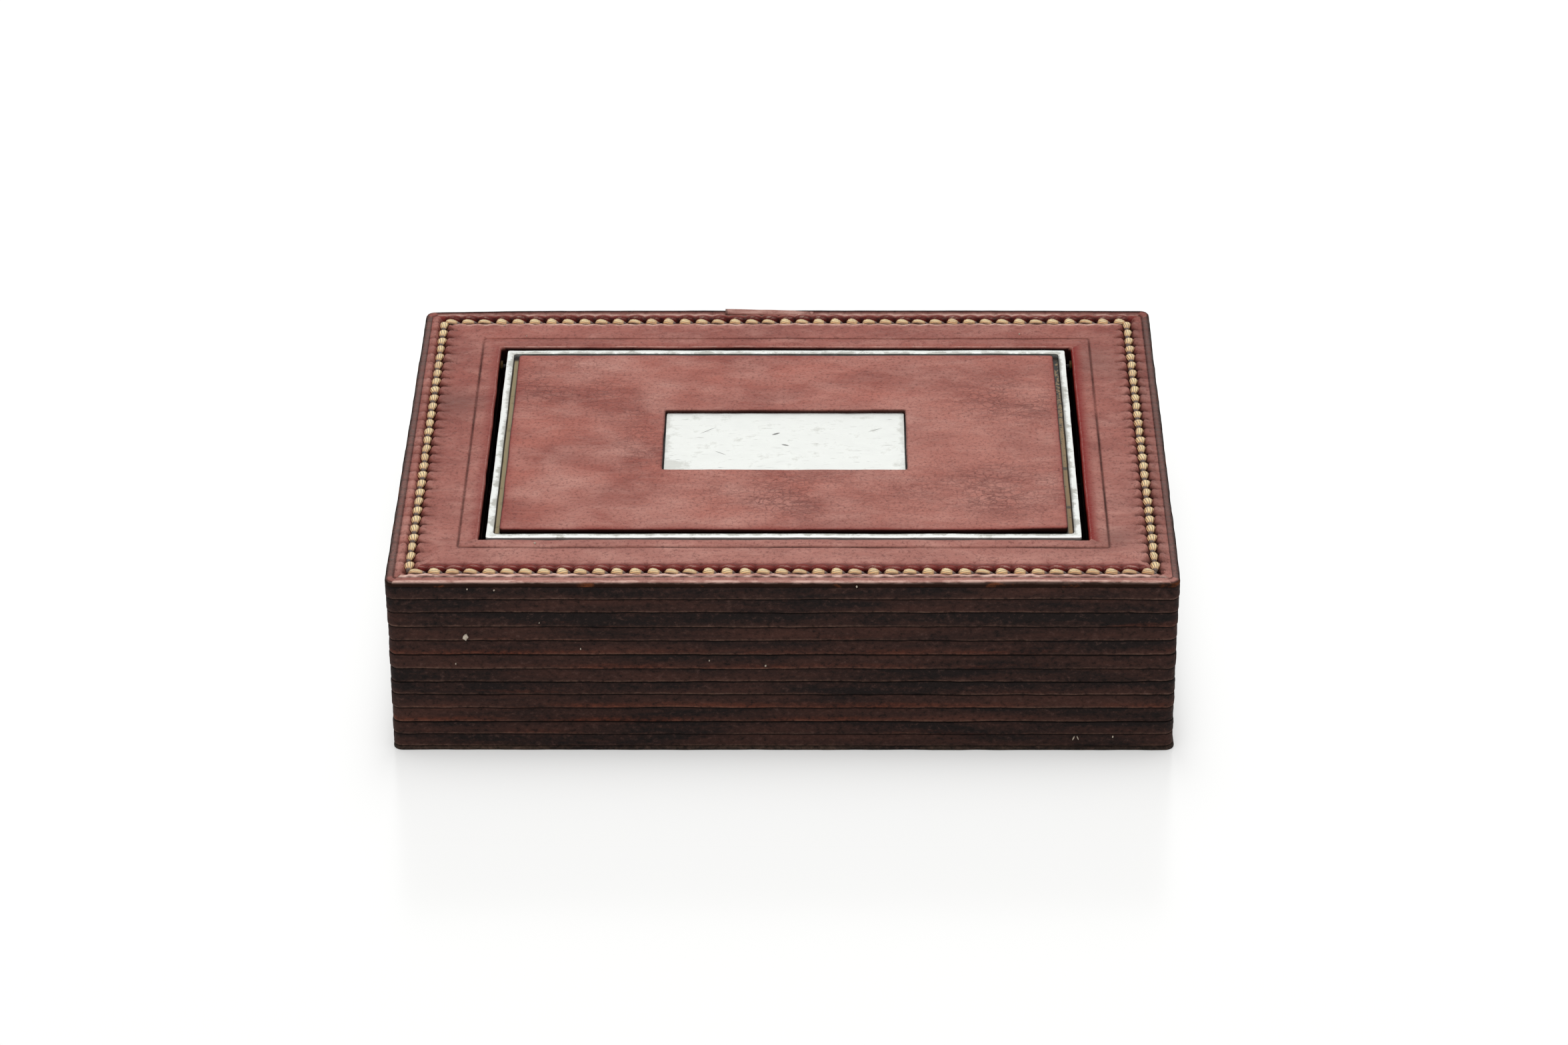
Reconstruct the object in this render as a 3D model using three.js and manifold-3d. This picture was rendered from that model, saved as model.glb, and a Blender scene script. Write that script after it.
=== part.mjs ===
// A flip-top keepsake box. The sides are leather layers stacked and glued like a heel, the top is
// hand-stitched leather with a window cut in it, and a silver-rimmed lid lies flush in that window.
// The lid flips up on two concealed pins near its rear edge.
// Millimetres, +Z up, the front facing -Y, the origin at the middle of the underside.

import * as THREE from "three";
import { mergeVertices } from "three/addons/utils/BufferGeometryUtils.js";
import Module from "manifold-3d";

const wasm = await Module();
wasm.setup();

// Overall box
const boxWidth = 201.2;
const boxDepth = 146.2;
const outerCornerRadius = 2.2;

// Stacked leather sides: ten wall layers, then two deck layers that reach inwards under the top
const baseSheetThickness = 1.2;
const leatherThickness = 3.93;
const layerThicknessShares = [0.92, 0.93, 1.05, 1.02, 0.95, 0.98, 1.06, 1.06, 1.02, 1.09, 0.99, 0.93];
const wallLayerCount = layerThicknessShares.length - 2;
const glueLine = 0.05;
const wallWidth = 12.6;
const wallSetback = 0.2;
const wallInnerRadius = 0.8;
const layerEdgeWear = 0.4;

// Top cover, its bevelled edge, its creases and the edge that is turned in around the window
const coverThickness = 1.5;
const bevelWidth = 2;
const bevelDrop = 0.35;
const creaseOffset = 5;
const creaseWidth = 0.9;
const creaseDepth = 0.25;
const creaseCornerRadius = 2;
const rollRadius = 0.9;
const lipThickness = 1;
const openingCornerRadius = 2.5;

// Saddle stitching in a furrow near the edge
const seamInset = 5.7;
const seamFurrowDepth = 1.1;
const seamCornerRadius = 1;
const threadClearance = 0.15;
const stitchPitch = 4.6;
const stitchWidth = 2.3;
const stitchRise = 0.35;
const threadRadius = 0.35;
const stitchLengthShare = 0.76;
const stitchShoulderShare = 0.45;
const threadSides = 6;

// Window in the deck, and the lid in it: a shallow metal tray with a leather inset and a plaque
// on top and a board in its underside
const sideBorder = 22.4;
const frontBorder = 20.55;
const lidGap = 1.9;
const lidCornerRadius = 0.5;
const rimWidth = 2.1;
const rimEdgeWear = 0.15;
const trayFloorThickness = 0.8;
const trayInnerRadius = 1;
const insetThickness = 1.6;
const insetProud = 0.4;
const insetChannel = 1.25;
const insetEdgeWear = 0.3;
const windowWidth = 64.2;
const windowDepth = 32.2;
const windowCornerRadius = 0.6;
const plaqueThickness = 0.8;
const plaqueEdgeWear = 0.15;
const fitClearance = 0.3;
const boardRecess = 0.2;
const ledgeWidth = 3;

// Pivot pins, and the flanged bushes that they turn in
const pivotInset = 3.2;
const pinRadius = 0.75;
const pinClearance = 0.15;
const pinGrip = 5;
const pinChamfer = 0.2;
const bushWall = 0.3;
const bushLength = 5;
const bushFlangeRadius = 1.7;
const bushFlangeThickness = 0.6;
const roundSegments = 20;

// Lining of the compartment
const floorBoardThickness = 2;
const floorLiningThickness = 1;
const liningThickness = 2;

// Every rounded outline has the same number of points, so that one can be joined to the next
const cornerSegments = 4;
const cutOverrun = 1;

const leatherTop = new THREE.MeshStandardMaterial({ color: 0x96605a, roughness: 0.5, metalness: 0 });
const leatherDark = new THREE.MeshStandardMaterial({ color: 0x2b1f1c, roughness: 0.65, metalness: 0 });
const leatherInset = new THREE.MeshStandardMaterial({ color: 0xa06a63, roughness: 0.5, metalness: 0 });
const suede = new THREE.MeshStandardMaterial({ color: 0x5c3431, roughness: 0.95, metalness: 0 });
const linen = new THREE.MeshStandardMaterial({ color: 0xc9a87a, roughness: 0.85, metalness: 0 });
const silver = new THREE.MeshStandardMaterial({ color: 0xe8e6de, roughness: 0.3, metalness: 1 });
const brass = new THREE.MeshStandardMaterial({ color: 0xb08d4a, roughness: 0.35, metalness: 1 });
const steel = new THREE.MeshStandardMaterial({ color: 0x8f9092, roughness: 0.35, metalness: 1 });
const board = new THREE.MeshStandardMaterial({ color: 0x6b4a35, roughness: 0.8, metalness: 0 });

// Height at which a leather layer starts, counted from 0 at the bottom of the stack
function layerBottom(index) {
  const below = layerThicknessShares.slice(0, index);
  const start = baseSheetThickness + glueLine;
  return below.reduce((height, share) => height + leatherThickness * share + glueLine, start);
}

function layerTop(index) {
  return layerBottom(index) + leatherThickness * layerThicknessShares[index];
}

const deckLower = wallLayerCount;
const deckUpper = wallLayerCount + 1;
const coverBottom = layerBottom(deckUpper + 1);
const coverTop = coverBottom + coverThickness;

const openingHalfX = boxWidth / 2 - sideBorder;
const openingHalfY = boxDepth / 2 - frontBorder;
const lidHalfX = openingHalfX - lidGap;
const lidHalfY = openingHalfY - lidGap;
const wallHalfX = boxWidth / 2 - wallSetback;
const wallHalfY = boxDepth / 2 - wallSetback;
const cavityHalfX = boxWidth / 2 - wallWidth;
const cavityHalfY = boxDepth / 2 - wallWidth;

const ledgeTop = layerTop(deckLower);
const trayBottom = ledgeTop + fitClearance;
const insetBottom = coverTop + insetProud - insetThickness;
const trayFloorTop = insetBottom - glueLine;
const trayFloorBottom = trayFloorTop - trayFloorThickness;
const recessHalfX = lidHalfX - rimWidth;
const recessHalfY = lidHalfY - rimWidth;

const pivotY = lidHalfY - pivotInset;
const pivotZ = (layerBottom(deckUpper) + layerTop(deckUpper)) / 2;
const pinInnerX = recessHalfX - fitClearance - pinGrip;
const bushEndX = openingHalfX + bushLength;
const pinOuterX = bushEndX - fitClearance;
const bushRadius = pinRadius + pinClearance + bushWall;

// A rounded rectangle at one height, as a ring of points that runs anticlockwise seen from above
function station(halfX, halfY, radius, z, centreY = 0) {
  const shape = new THREE.Shape();
  shape.absarc(halfX - radius, halfY - radius, radius, 0, Math.PI / 2);
  shape.absarc(radius - halfX, halfY - radius, radius, Math.PI / 2, Math.PI);
  shape.absarc(radius - halfX, radius - halfY, radius, Math.PI, 1.5 * Math.PI);
  shape.absarc(halfX - radius, radius - halfY, radius, 1.5 * Math.PI, 2 * Math.PI);
  const arcs = shape.curves.filter((curve) => curve.isEllipseCurve);
  const points = arcs.flatMap((arc) => arc.getPoints(cornerSegments));
  return points.map((point) => new THREE.Vector3(point.x, point.y + centreY, z));
}

// Walls between each ring of points and the next
function wallTriangles(rings, closed) {
  const size = rings[0].length;
  const steps = closed ? rings.length : rings.length - 1;
  const triangles = [];
  for (let step = 0; step < steps; step += 1) {
    const here = step * size;
    const next = ((step + 1) % rings.length) * size;
    for (let side = 0; side < size; side += 1) {
      const far = (side + 1) % size;
      triangles.push(here + side, here + far, next + far);
      triangles.push(here + side, next + far, next + side);
    }
  }
  return triangles;
}

function meshFrom(rings, triangles) {
  const geometry = new THREE.BufferGeometry().setFromPoints(rings.flat());
  geometry.setIndex(triangles);
  return mergeVertices(geometry);
}

// A frame: its rings run up the outside, inwards over the top and down the inside
function loftedFrame(rings) {
  return meshFrom(rings, wallTriangles(rings, true));
}

// A block: its first ring is closed by a face that looks back, and its last by one that looks on
function loftedBlock(rings) {
  const size = rings[0].length;
  const last = (rings.length - 1) * size;
  const triangles = wallTriangles(rings, false);
  for (let side = 1; side < size - 1; side += 1) {
    triangles.push(0, side + 1, side);
    triangles.push(last, last + side, last + side + 1);
  }
  return meshFrom(rings, triangles);
}

function solidOf(geometry) {
  const bare = geometry.clone();
  bare.deleteAttribute("normal");
  bare.deleteAttribute("uv");
  const merged = mergeVertices(bare);
  const vertProperties = new Float32Array(merged.attributes.position.array);
  const triVerts = new Uint32Array(merged.index.array);
  return new wasm.Manifold(new wasm.Mesh({ numProp: 3, vertProperties, triVerts }));
}

function geometryOf(solid) {
  const mesh = solid.getMesh();
  const geometry = new THREE.BufferGeometry();
  geometry.setAttribute("position", new THREE.BufferAttribute(mesh.vertProperties, mesh.numProp));
  geometry.setIndex(new THREE.BufferAttribute(mesh.triVerts, 1));
  return geometry;
}

// Bores a level hole across each side of a piece, between two distances from the middle
function boredBothSides(geometry, radius, fromX, toX) {
  const length = toX - fromX;
  let solid = solidOf(geometry);
  for (const side of [-1, 1]) {
    const drill = new THREE.CylinderGeometry(radius, radius, length, roundSegments);
    drill.rotateZ(Math.PI / 2);
    drill.translate(side * (fromX + length / 2), pivotY, pivotZ);
    solid = solid.subtract(solidOf(drill));
  }
  return geometryOf(solid);
}

// One leather layer, cut as a frame, with its outer edges worn round
function layerFrame(index, halfX, halfY, holeAt) {
  const bottom = layerBottom(index);
  const top = layerTop(index);
  const worn = layerEdgeWear;
  return loftedFrame([
    station(halfX - worn, halfY - worn, outerCornerRadius - worn, bottom),
    station(halfX, halfY, outerCornerRadius, bottom + worn),
    station(halfX, halfY, outerCornerRadius, top - worn),
    station(halfX - worn, halfY - worn, outerCornerRadius - worn, top),
    holeAt(top),
    holeAt(bottom),
  ]);
}

function wallLayer(index) {
  const hole = (z) => station(cavityHalfX, cavityHalfY, wallInnerRadius, z);
  return layerFrame(index, wallHalfX, wallHalfY, hole);
}

// The lower deck layer reaches further in at the front, as the ledge that the lid rests on
function deckLayerLower() {
  const reach = lidGap + ledgeWidth;
  const hole = (z) => station(openingHalfX, openingHalfY - reach / 2, openingCornerRadius, z, reach / 2);
  return layerFrame(deckLower, boxWidth / 2, boxDepth / 2, hole);
}

// The upper deck layer stands back behind the cover's turned-in edge and holds the bushes
function deckLayerUpper() {
  const back = lipThickness + glueLine;
  const radius = openingCornerRadius + back;
  const hole = (z) => station(openingHalfX + back, openingHalfY + back, radius, z);
  const layer = layerFrame(deckUpper, boxWidth / 2, boxDepth / 2, hole);
  return boredBothSides(layer, bushRadius + glueLine, openingHalfX, bushEndX + fitClearance);
}

function baseSheet() {
  return loftedBlock([
    station(wallHalfX, wallHalfY, outerCornerRadius, 0),
    station(wallHalfX, wallHalfY, outerCornerRadius, baseSheetThickness),
  ]);
}

// The cover in section, from its outer edge over the furrow and the crease to the turned-in lip
function topCover() {
  const halfX = boxWidth / 2;
  const halfY = boxDepth / 2;
  const furrowHalf = stitchWidth / 2 + threadClearance;
  const furrowFloor = coverTop - seamFurrowDepth;
  const lipBottom = layerBottom(deckUpper);
  const inFromEdge = (inset, radius, z) => station(halfX - inset, halfY - inset, radius, z);
  const outFromOpening = (offset, radius, z) =>
    station(openingHalfX + offset, openingHalfY + offset, radius, z);
  const rollSteps = [0, 1, 2, 3].map((step) => {
    const turn = (step / 3) * (Math.PI / 2);
    const offset = rollRadius * (1 - Math.sin(turn));
    return outFromOpening(offset, openingCornerRadius + offset, coverTop - rollRadius * (1 - Math.cos(turn)));
  });
  const cover = loftedFrame([
    inFromEdge(0, outerCornerRadius, coverBottom),
    inFromEdge(0, outerCornerRadius, coverTop - bevelDrop),
    inFromEdge(bevelWidth, seamCornerRadius, coverTop),
    inFromEdge(seamInset - furrowHalf, seamCornerRadius, coverTop),
    inFromEdge(seamInset - furrowHalf, seamCornerRadius, furrowFloor),
    inFromEdge(seamInset + furrowHalf, seamCornerRadius, furrowFloor),
    inFromEdge(seamInset + furrowHalf, seamCornerRadius, coverTop),
    outFromOpening(creaseOffset + creaseWidth / 2, creaseCornerRadius, coverTop),
    outFromOpening(creaseOffset, creaseCornerRadius, coverTop - creaseDepth),
    outFromOpening(creaseOffset - creaseWidth / 2, creaseCornerRadius, coverTop),
    ...rollSteps,
    outFromOpening(0, openingCornerRadius, lipBottom),
    outFromOpening(lipThickness, openingCornerRadius + lipThickness, lipBottom),
    outFromOpening(lipThickness, openingCornerRadius + lipThickness, coverBottom),
  ]);
  return boredBothSides(cover, bushRadius + glueLine, openingHalfX - cutOverrun, bushEndX + fitClearance);
}

// One row of saddle stitches: a single thread that dips into each hole and swells over the leather
function stitchRow(rowLength) {
  const count = Math.round(rowLength / stitchPitch);
  const pitch = rowLength / count;
  const stitchHalf = (pitch * stitchLengthShare) / 2;
  const furrowFloor = coverTop - seamFurrowDepth + threadClearance;
  const stitchTop = coverTop + stitchRise;
  const stitchHalfHeight = (stitchTop - furrowFloor) / 2;
  const section = (x, halfY, halfZ) => {
    const centreZ = furrowFloor + halfZ;
    return Array.from({ length: threadSides }, (_, side) => {
      const turn = (side / threadSides) * 2 * Math.PI;
      return new THREE.Vector3(x, halfY * Math.cos(turn), centreZ + halfZ * Math.sin(turn));
    });
  };
  const rings = [];
  for (let stitch = 0; stitch < count; stitch += 1) {
    const x = (stitch + 0.5) * pitch - rowLength / 2;
    const shoulder = stitchHalf * stitchShoulderShare;
    rings.push(section(x - stitchHalf, threadRadius, threadRadius));
    rings.push(section(x - shoulder, stitchWidth / 2, stitchHalfHeight));
    rings.push(section(x + shoulder, stitchWidth / 2, stitchHalfHeight));
    rings.push(section(x + stitchHalf, threadRadius, threadRadius));
  }
  return loftedBlock(rings);
}

function panel(sizeX, sizeY, sizeZ) {
  const geometry = new THREE.BoxGeometry(sizeX, sizeY, sizeZ);
  return geometry.translate(0, 0, sizeZ / 2);
}

// The tray in section, from the recess in its underside round the rim to the floor on top
function lidTray() {
  const halfX = lidHalfX;
  const halfY = lidHalfY;
  const worn = rimEdgeWear;
  const tray = loftedBlock([
    station(recessHalfX, recessHalfY, trayInnerRadius, trayFloorBottom),
    station(recessHalfX, recessHalfY, trayInnerRadius, trayBottom),
    station(halfX - worn, halfY - worn, lidCornerRadius, trayBottom),
    station(halfX, halfY, lidCornerRadius, trayBottom + worn),
    station(halfX, halfY, lidCornerRadius, coverTop - worn),
    station(halfX - worn, halfY - worn, lidCornerRadius, coverTop),
    station(recessHalfX + worn, recessHalfY + worn, trayInnerRadius, coverTop),
    station(recessHalfX, recessHalfY, trayInnerRadius, coverTop - worn),
    station(recessHalfX, recessHalfY, trayInnerRadius, trayFloorTop),
  ]);
  return boredBothSides(tray, pinRadius + glueLine, pinInnerX, halfX + cutOverrun);
}

function lidBackingBoard() {
  const halfX = recessHalfX - fitClearance;
  const halfY = recessHalfY - fitClearance;
  const slab = loftedBlock([
    station(halfX, halfY, trayInnerRadius, trayBottom + boardRecess),
    station(halfX, halfY, trayInnerRadius, trayFloorBottom - glueLine),
  ]);
  return boredBothSides(slab, pinRadius + glueLine, pinInnerX - fitClearance, halfX + cutOverrun);
}

function lidLeather() {
  const halfX = recessHalfX - insetChannel;
  const halfY = recessHalfY - insetChannel;
  const top = insetBottom + insetThickness;
  const worn = insetEdgeWear;
  return loftedFrame([
    station(halfX, halfY, trayInnerRadius, insetBottom),
    station(halfX, halfY, trayInnerRadius, top - worn),
    station(halfX - worn, halfY - worn, trayInnerRadius, top),
    station(windowWidth / 2, windowDepth / 2, windowCornerRadius, top),
    station(windowWidth / 2, windowDepth / 2, windowCornerRadius, insetBottom),
  ]);
}

function lidPlaque() {
  const halfX = windowWidth / 2 - fitClearance;
  const halfY = windowDepth / 2 - fitClearance;
  const worn = plaqueEdgeWear;
  const top = insetBottom + plaqueThickness;
  return loftedBlock([
    station(halfX, halfY, windowCornerRadius, insetBottom),
    station(halfX, halfY, windowCornerRadius, top - worn),
    station(halfX - worn, halfY - worn, windowCornerRadius, top),
  ]);
}

// A turned piece from its profile of distances along X and radii, as it is set in the right side
function turned(profile) {
  const points = profile.map(([along, radius]) => new THREE.Vector2(radius, along));
  const geometry = new THREE.LatheGeometry(points, roundSegments);
  geometry.deleteAttribute("normal");
  geometry.deleteAttribute("uv");
  return mergeVertices(geometry).rotateZ(-Math.PI / 2);
}

function pivotPin() {
  const length = pinOuterX - pinInnerX;
  return turned([
    [0, 0],
    [0, pinRadius - pinChamfer],
    [pinChamfer, pinRadius],
    [length - pinChamfer, pinRadius],
    [length, pinRadius - pinChamfer],
    [length, 0],
  ]);
}

function pivotBush() {
  const bore = pinRadius + pinClearance;
  return turned([
    [-glueLine, bore],
    [-glueLine - bushFlangeThickness, bore],
    [-glueLine - bushFlangeThickness, bushFlangeRadius],
    [-glueLine, bushFlangeRadius],
    [-glueLine, bushRadius],
    [bushLength, bushRadius],
    [bushLength, bore],
    [-glueLine, bore],
  ]);
}

function place(parent, name, geometry, material, x = 0, y = 0, z = 0) {
  const mesh = new THREE.Mesh(geometry, material);
  mesh.name = name;
  mesh.position.set(x, y, z);
  parent.add(mesh);
  return mesh;
}

const sides = { left: -1, right: 1 };

function addStack(parent) {
  place(parent, "base_sheet", baseSheet(), leatherDark);
  for (let index = 0; index < wallLayerCount; index += 1) {
    const number = String(index + 1).padStart(2, "0");
    place(parent, `wall_layer_${number}`, wallLayer(index), leatherDark);
  }
  place(parent, "deck_layer_lower", deckLayerLower(), leatherDark);
  place(parent, "deck_layer_upper", deckLayerUpper(), leatherDark);
}

function addStitching(parent) {
  const seamX = boxWidth / 2 - seamInset;
  const seamY = boxDepth / 2 - seamInset;
  place(parent, "stitching_front", stitchRow(2 * seamX), linen, 0, -seamY);
  place(parent, "stitching_back", stitchRow(2 * seamX), linen, 0, seamY);
  for (const [name, side] of Object.entries(sides)) {
    const column = place(parent, `stitching_${name}`, stitchRow(2 * seamY), linen, side * seamX);
    column.rotation.z = Math.PI / 2;
  }
}

function addLining(parent) {
  const halfX = cavityHalfX - fitClearance;
  const halfY = cavityHalfY - fitClearance;
  const boardBottom = baseSheetThickness + glueLine;
  const liningBottom = boardBottom + floorBoardThickness + glueLine;
  const liningHeight = layerBottom(deckLower) - glueLine - liningBottom;
  const innerHalfX = halfX - liningThickness;
  const innerHalfY = halfY - liningThickness;
  const acrossX = 2 * (innerHalfX - glueLine);
  const acrossY = 2 * (innerHalfY - glueLine);
  const boardPanel = panel(2 * halfX, 2 * halfY, floorBoardThickness);
  place(parent, "floor_board", boardPanel, board, 0, 0, boardBottom);
  const floorPanel = panel(acrossX, acrossY, floorLiningThickness);
  place(parent, "floor_lining", floorPanel, suede, 0, 0, liningBottom);
  const lengthPanel = () => panel(2 * halfX, liningThickness, liningHeight);
  const endPanel = () => panel(liningThickness, acrossY, liningHeight);
  const panelY = halfY - liningThickness / 2;
  const panelX = halfX - liningThickness / 2;
  place(parent, "lining_front", lengthPanel(), suede, 0, -panelY, liningBottom);
  place(parent, "lining_back", lengthPanel(), suede, 0, panelY, liningBottom);
  for (const [name, side] of Object.entries(sides)) {
    place(parent, `lining_${name}`, endPanel(), suede, side * panelX, 0, liningBottom);
  }
}

// A turned piece is drawn for the right side and turned half round for the left
function placeTurned(parent, name, geometry, material, side, x) {
  const mesh = place(parent, name, geometry, material, side * x, pivotY, pivotZ);
  mesh.rotation.z = side > 0 ? 0 : Math.PI;
}

function addBushes(parent) {
  for (const [name, side] of Object.entries(sides)) {
    placeTurned(parent, `pivot_bush_${name}`, pivotBush(), brass, side, openingHalfX);
  }
}

function addLid(parent) {
  place(parent, "lid_tray", lidTray(), silver);
  place(parent, "lid_backing_board", lidBackingBoard(), board);
  place(parent, "lid_leather", lidLeather(), leatherInset);
  place(parent, "lid_plaque", lidPlaque(), silver);
  for (const [name, side] of Object.entries(sides)) {
    placeTurned(parent, `pivot_pin_${name}`, pivotPin(), steel, side, pinInnerX);
  }
}

const box = new THREE.Group();
const fixedCase = new THREE.Group();
box.add(fixedCase);
addStack(fixedCase);
place(fixedCase, "top_cover", topCover(), leatherTop);
addStitching(fixedCase);
addLining(fixedCase);
addBushes(fixedCase);

// The hinge group stands on the pins' axis, so a negative turn about X opens the lid
const lidHinge = new THREE.Group();
lidHinge.position.set(0, pivotY, pivotZ);
const lidLeaf = new THREE.Group();
lidLeaf.position.set(0, -pivotY, -pivotZ);
lidHinge.add(lidLeaf);
box.add(lidHinge);
addLid(lidLeaf);

export default box;
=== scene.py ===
"""A flip-top keepsake box: stacked leather sides, a hand-stitched leather top and a silver-rimmed lid.

The packed solids give every size and place. Each operator below makes the fine surface of one piece
or one group of like pieces around them. Working sizes are millimetres, and meshes are metres.
"""

import itertools
import math
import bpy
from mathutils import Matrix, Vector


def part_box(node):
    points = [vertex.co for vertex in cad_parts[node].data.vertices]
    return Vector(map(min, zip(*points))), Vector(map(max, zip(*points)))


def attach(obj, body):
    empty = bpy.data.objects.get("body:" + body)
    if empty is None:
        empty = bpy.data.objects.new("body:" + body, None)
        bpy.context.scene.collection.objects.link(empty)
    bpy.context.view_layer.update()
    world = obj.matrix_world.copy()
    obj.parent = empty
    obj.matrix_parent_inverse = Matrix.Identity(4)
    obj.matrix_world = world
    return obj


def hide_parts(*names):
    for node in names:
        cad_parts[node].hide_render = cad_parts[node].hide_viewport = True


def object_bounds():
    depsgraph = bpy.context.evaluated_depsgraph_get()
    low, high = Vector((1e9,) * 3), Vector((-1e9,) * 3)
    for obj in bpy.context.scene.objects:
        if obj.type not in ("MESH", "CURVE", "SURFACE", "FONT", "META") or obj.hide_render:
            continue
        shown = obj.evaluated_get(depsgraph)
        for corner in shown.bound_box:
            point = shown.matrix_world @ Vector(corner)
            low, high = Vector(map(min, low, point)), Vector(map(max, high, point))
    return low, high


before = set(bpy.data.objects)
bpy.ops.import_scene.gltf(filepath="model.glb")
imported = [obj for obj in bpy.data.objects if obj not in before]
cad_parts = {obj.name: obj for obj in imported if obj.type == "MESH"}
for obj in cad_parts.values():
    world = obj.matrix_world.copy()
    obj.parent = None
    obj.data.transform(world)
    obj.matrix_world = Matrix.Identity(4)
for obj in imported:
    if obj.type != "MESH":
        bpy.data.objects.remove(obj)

from types import SimpleNamespace

import bpy
import numpy as np
from mathutils import Matrix, Vector, noise

bl_info = {
    "name": "Stacked leather keepsake box",
    "version": (1, 0, 0),
    "blender": (4, 5, 0),
    "location": "View3D > Sidebar > Keepsake box",
    "description": "Makes the leather, stitching, metal and lining of a flip-top box",
    "category": "Object",
}

MM = 0.001
CAD_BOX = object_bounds()
# Pixels across the photograph, and the camera's sensor in millimetres
PHOTO_WIDTH = 2352
SENSOR_WIDTH = 36
WALL_LAYERS = 10
# Corner radius of the layers
OUTER_RADIUS = 2.4
# A glue line between two pieces
GLUE = 0.05
SIDES = ("front", "right", "back", "left")
# A distance that is beyond every mark on the top, for the rings that lie far from an edge
FAR_OFF = 99.0
# How far inwards of its packed place each stitched row lies, in millimetres
ROW_SHIFT = {"front": -0.45, "right": 0.75, "left": 0.05}
# Stains by the right corners of the window and on the left: place right, place back, size
COVER_STAINS = ((84, 46, 8), (85, -51, 5), (-88, 20, 7))
# Side, place across, place up or back, size, how long it is for its width, and its turn
FLECKS = (
    ("front", -79.7, 48.5, 0.45, 1.0, 0.0), ("front", -72.9, 48.2, 0.55, 1.3, 1.2),
    ("front", 18.6, 49.3, 0.7, 1.2, 1.5), ("front", -80.5, 34.2, 2.1, 1.3, 1.3),
    ("front", -83.4, 26.3, 0.4, 1.0, 0.0), ("front", -61.8, 38.5, 0.4, 1.6, 1.2),
    ("front", -51.5, 30.8, 0.4, 1.0, 0.0), ("front", -4.5, 25.8, 0.6, 1.2, 0.3),
    ("front", -18.8, 27.3, 0.4, 1.2, 0.8), ("front", 74.4, 3.9, 1.4, 4.5, 1.1),
    ("front", 75.5, 3.9, 1.3, 4.5, 2.0), ("front", 84.4, 4.3, 0.5, 1.2, 0.7),
    ("top", -63.6, -53.9, 0.7, 1.2, 0.4), ("top", -78.0, 65.0, 0.4, 1.0, 0.0),
    ("top", -71.6, 58.7, 0.4, 1.5, 0.9), ("top", 64.3, 59.9, 0.5, 1.2, 0.5),
)


def linear(hex_colour):
    """An sRGB hex colour as linear red, green, blue and alpha."""
    shares = [int(hex_colour[i:i + 2], 16) / 255 for i in (0, 2, 4)]
    bright = [s / 12.92 if s <= 0.04045 else ((s + 0.055) / 1.055) ** 2.4 for s in shares]
    return (*bright, 1.0)


def colour(name, description, hex_colour):
    """A colour that a user can change."""
    return bpy.props.FloatVectorProperty(
        name=name, description=description, subtype="COLOR", size=4, min=0, max=1,
        default=linear(hex_colour))


def amount(name, description, default, **kind):
    """A number that a user can change."""
    return bpy.props.FloatProperty(name=name, description=description, default=default, **kind)


def length(name, description, millimetres):
    """A length in millimetres that a user can change."""
    return amount(name, f"{description}, in millimetres", millimetres)


def node_box(name):
    """Lowest and highest corner of a packed solid, in millimetres."""
    low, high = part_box(name)
    return Vector(low) / MM, Vector(high) / MM


class BOX_PG_cover(bpy.types.PropertyGroup):
    """The stitched leather top."""

    edge_band: length("Edge band", "Width of the creased band along the outer edge", 2.0)
    seam_inset: length("Seam inset", "Distance of the stitching from the outer edge", 5.7)
    furrow_half: length("Furrow half width", "Half the width of the furrow that holds the thread", 1.15)
    furrow_far: length("Furrow far side", "How much wider the furrow is on its far side", 0.75)
    furrow_depth: length("Furrow depth", "Depth of the furrow at the middle of a stitch", 0.95)
    pucker: length("Pucker", "How far the leather swells beside a stitch", 0.5)
    back_rise: length("Back rise", "How far the strip along the back edge stands up", 0.8)
    crease_offset: length("Crease offset", "Distance of the blind crease from the window", 5.0)
    crease_depth: length("Crease depth", "Depth of the blind crease", 0.36)
    window_front: length("Window front", "How far the window's front edge reaches over its gap", 1.0)
    roll: length("Turned edge", "Radius of the leather where it turns down into the window", 0.8)
    lip: length("Lip thickness", "Thickness of the leather that lines the window", 1.0)
    lid_gap: length("Lid gap", "Gap between the lid and the window", 1.9)
    dye: colour("Dye", "Burgundy of the worn grain", "A35D51")
    dye_deep: colour("Deep dye", "Burgundy where the dye pooled", "77332A")
    dye_worn: colour("Worn edge", "Grey-brown of the rubbed edge band", "624740")
    # Painted shade: this deep red is laid inside the window and in the folds
    red_shade: colour("Crimson", "Unfaded dye inside the window and in the folds", "80180F")
    raw_edge: colour("Raw edge", "Waxed cut edge of the top", "24150F")


class BOX_PG_stack(bpy.types.PropertyGroup):
    """The stacked and glued leather layers."""

    wall: length("Wall width", "Width of each wall layer, seen from above", 12.6)
    wear: length("Edge wear", "How far a layer's edges are rounded off", 0.3)
    waviness: length("Waviness", "How far the seams between layers wander", 0.2)
    black: colour("Black", "Edge dye on most of the stack", "211A19")
    brown: colour("Brown", "Edge dye where it has thinned", "4B3029")
    russet: colour("Russet", "Bare fibre that shows along lower edges", "703826")
    ledge: length("Ledge", "How far the lower deck layer reaches under the lid at the front", 4.9)


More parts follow.
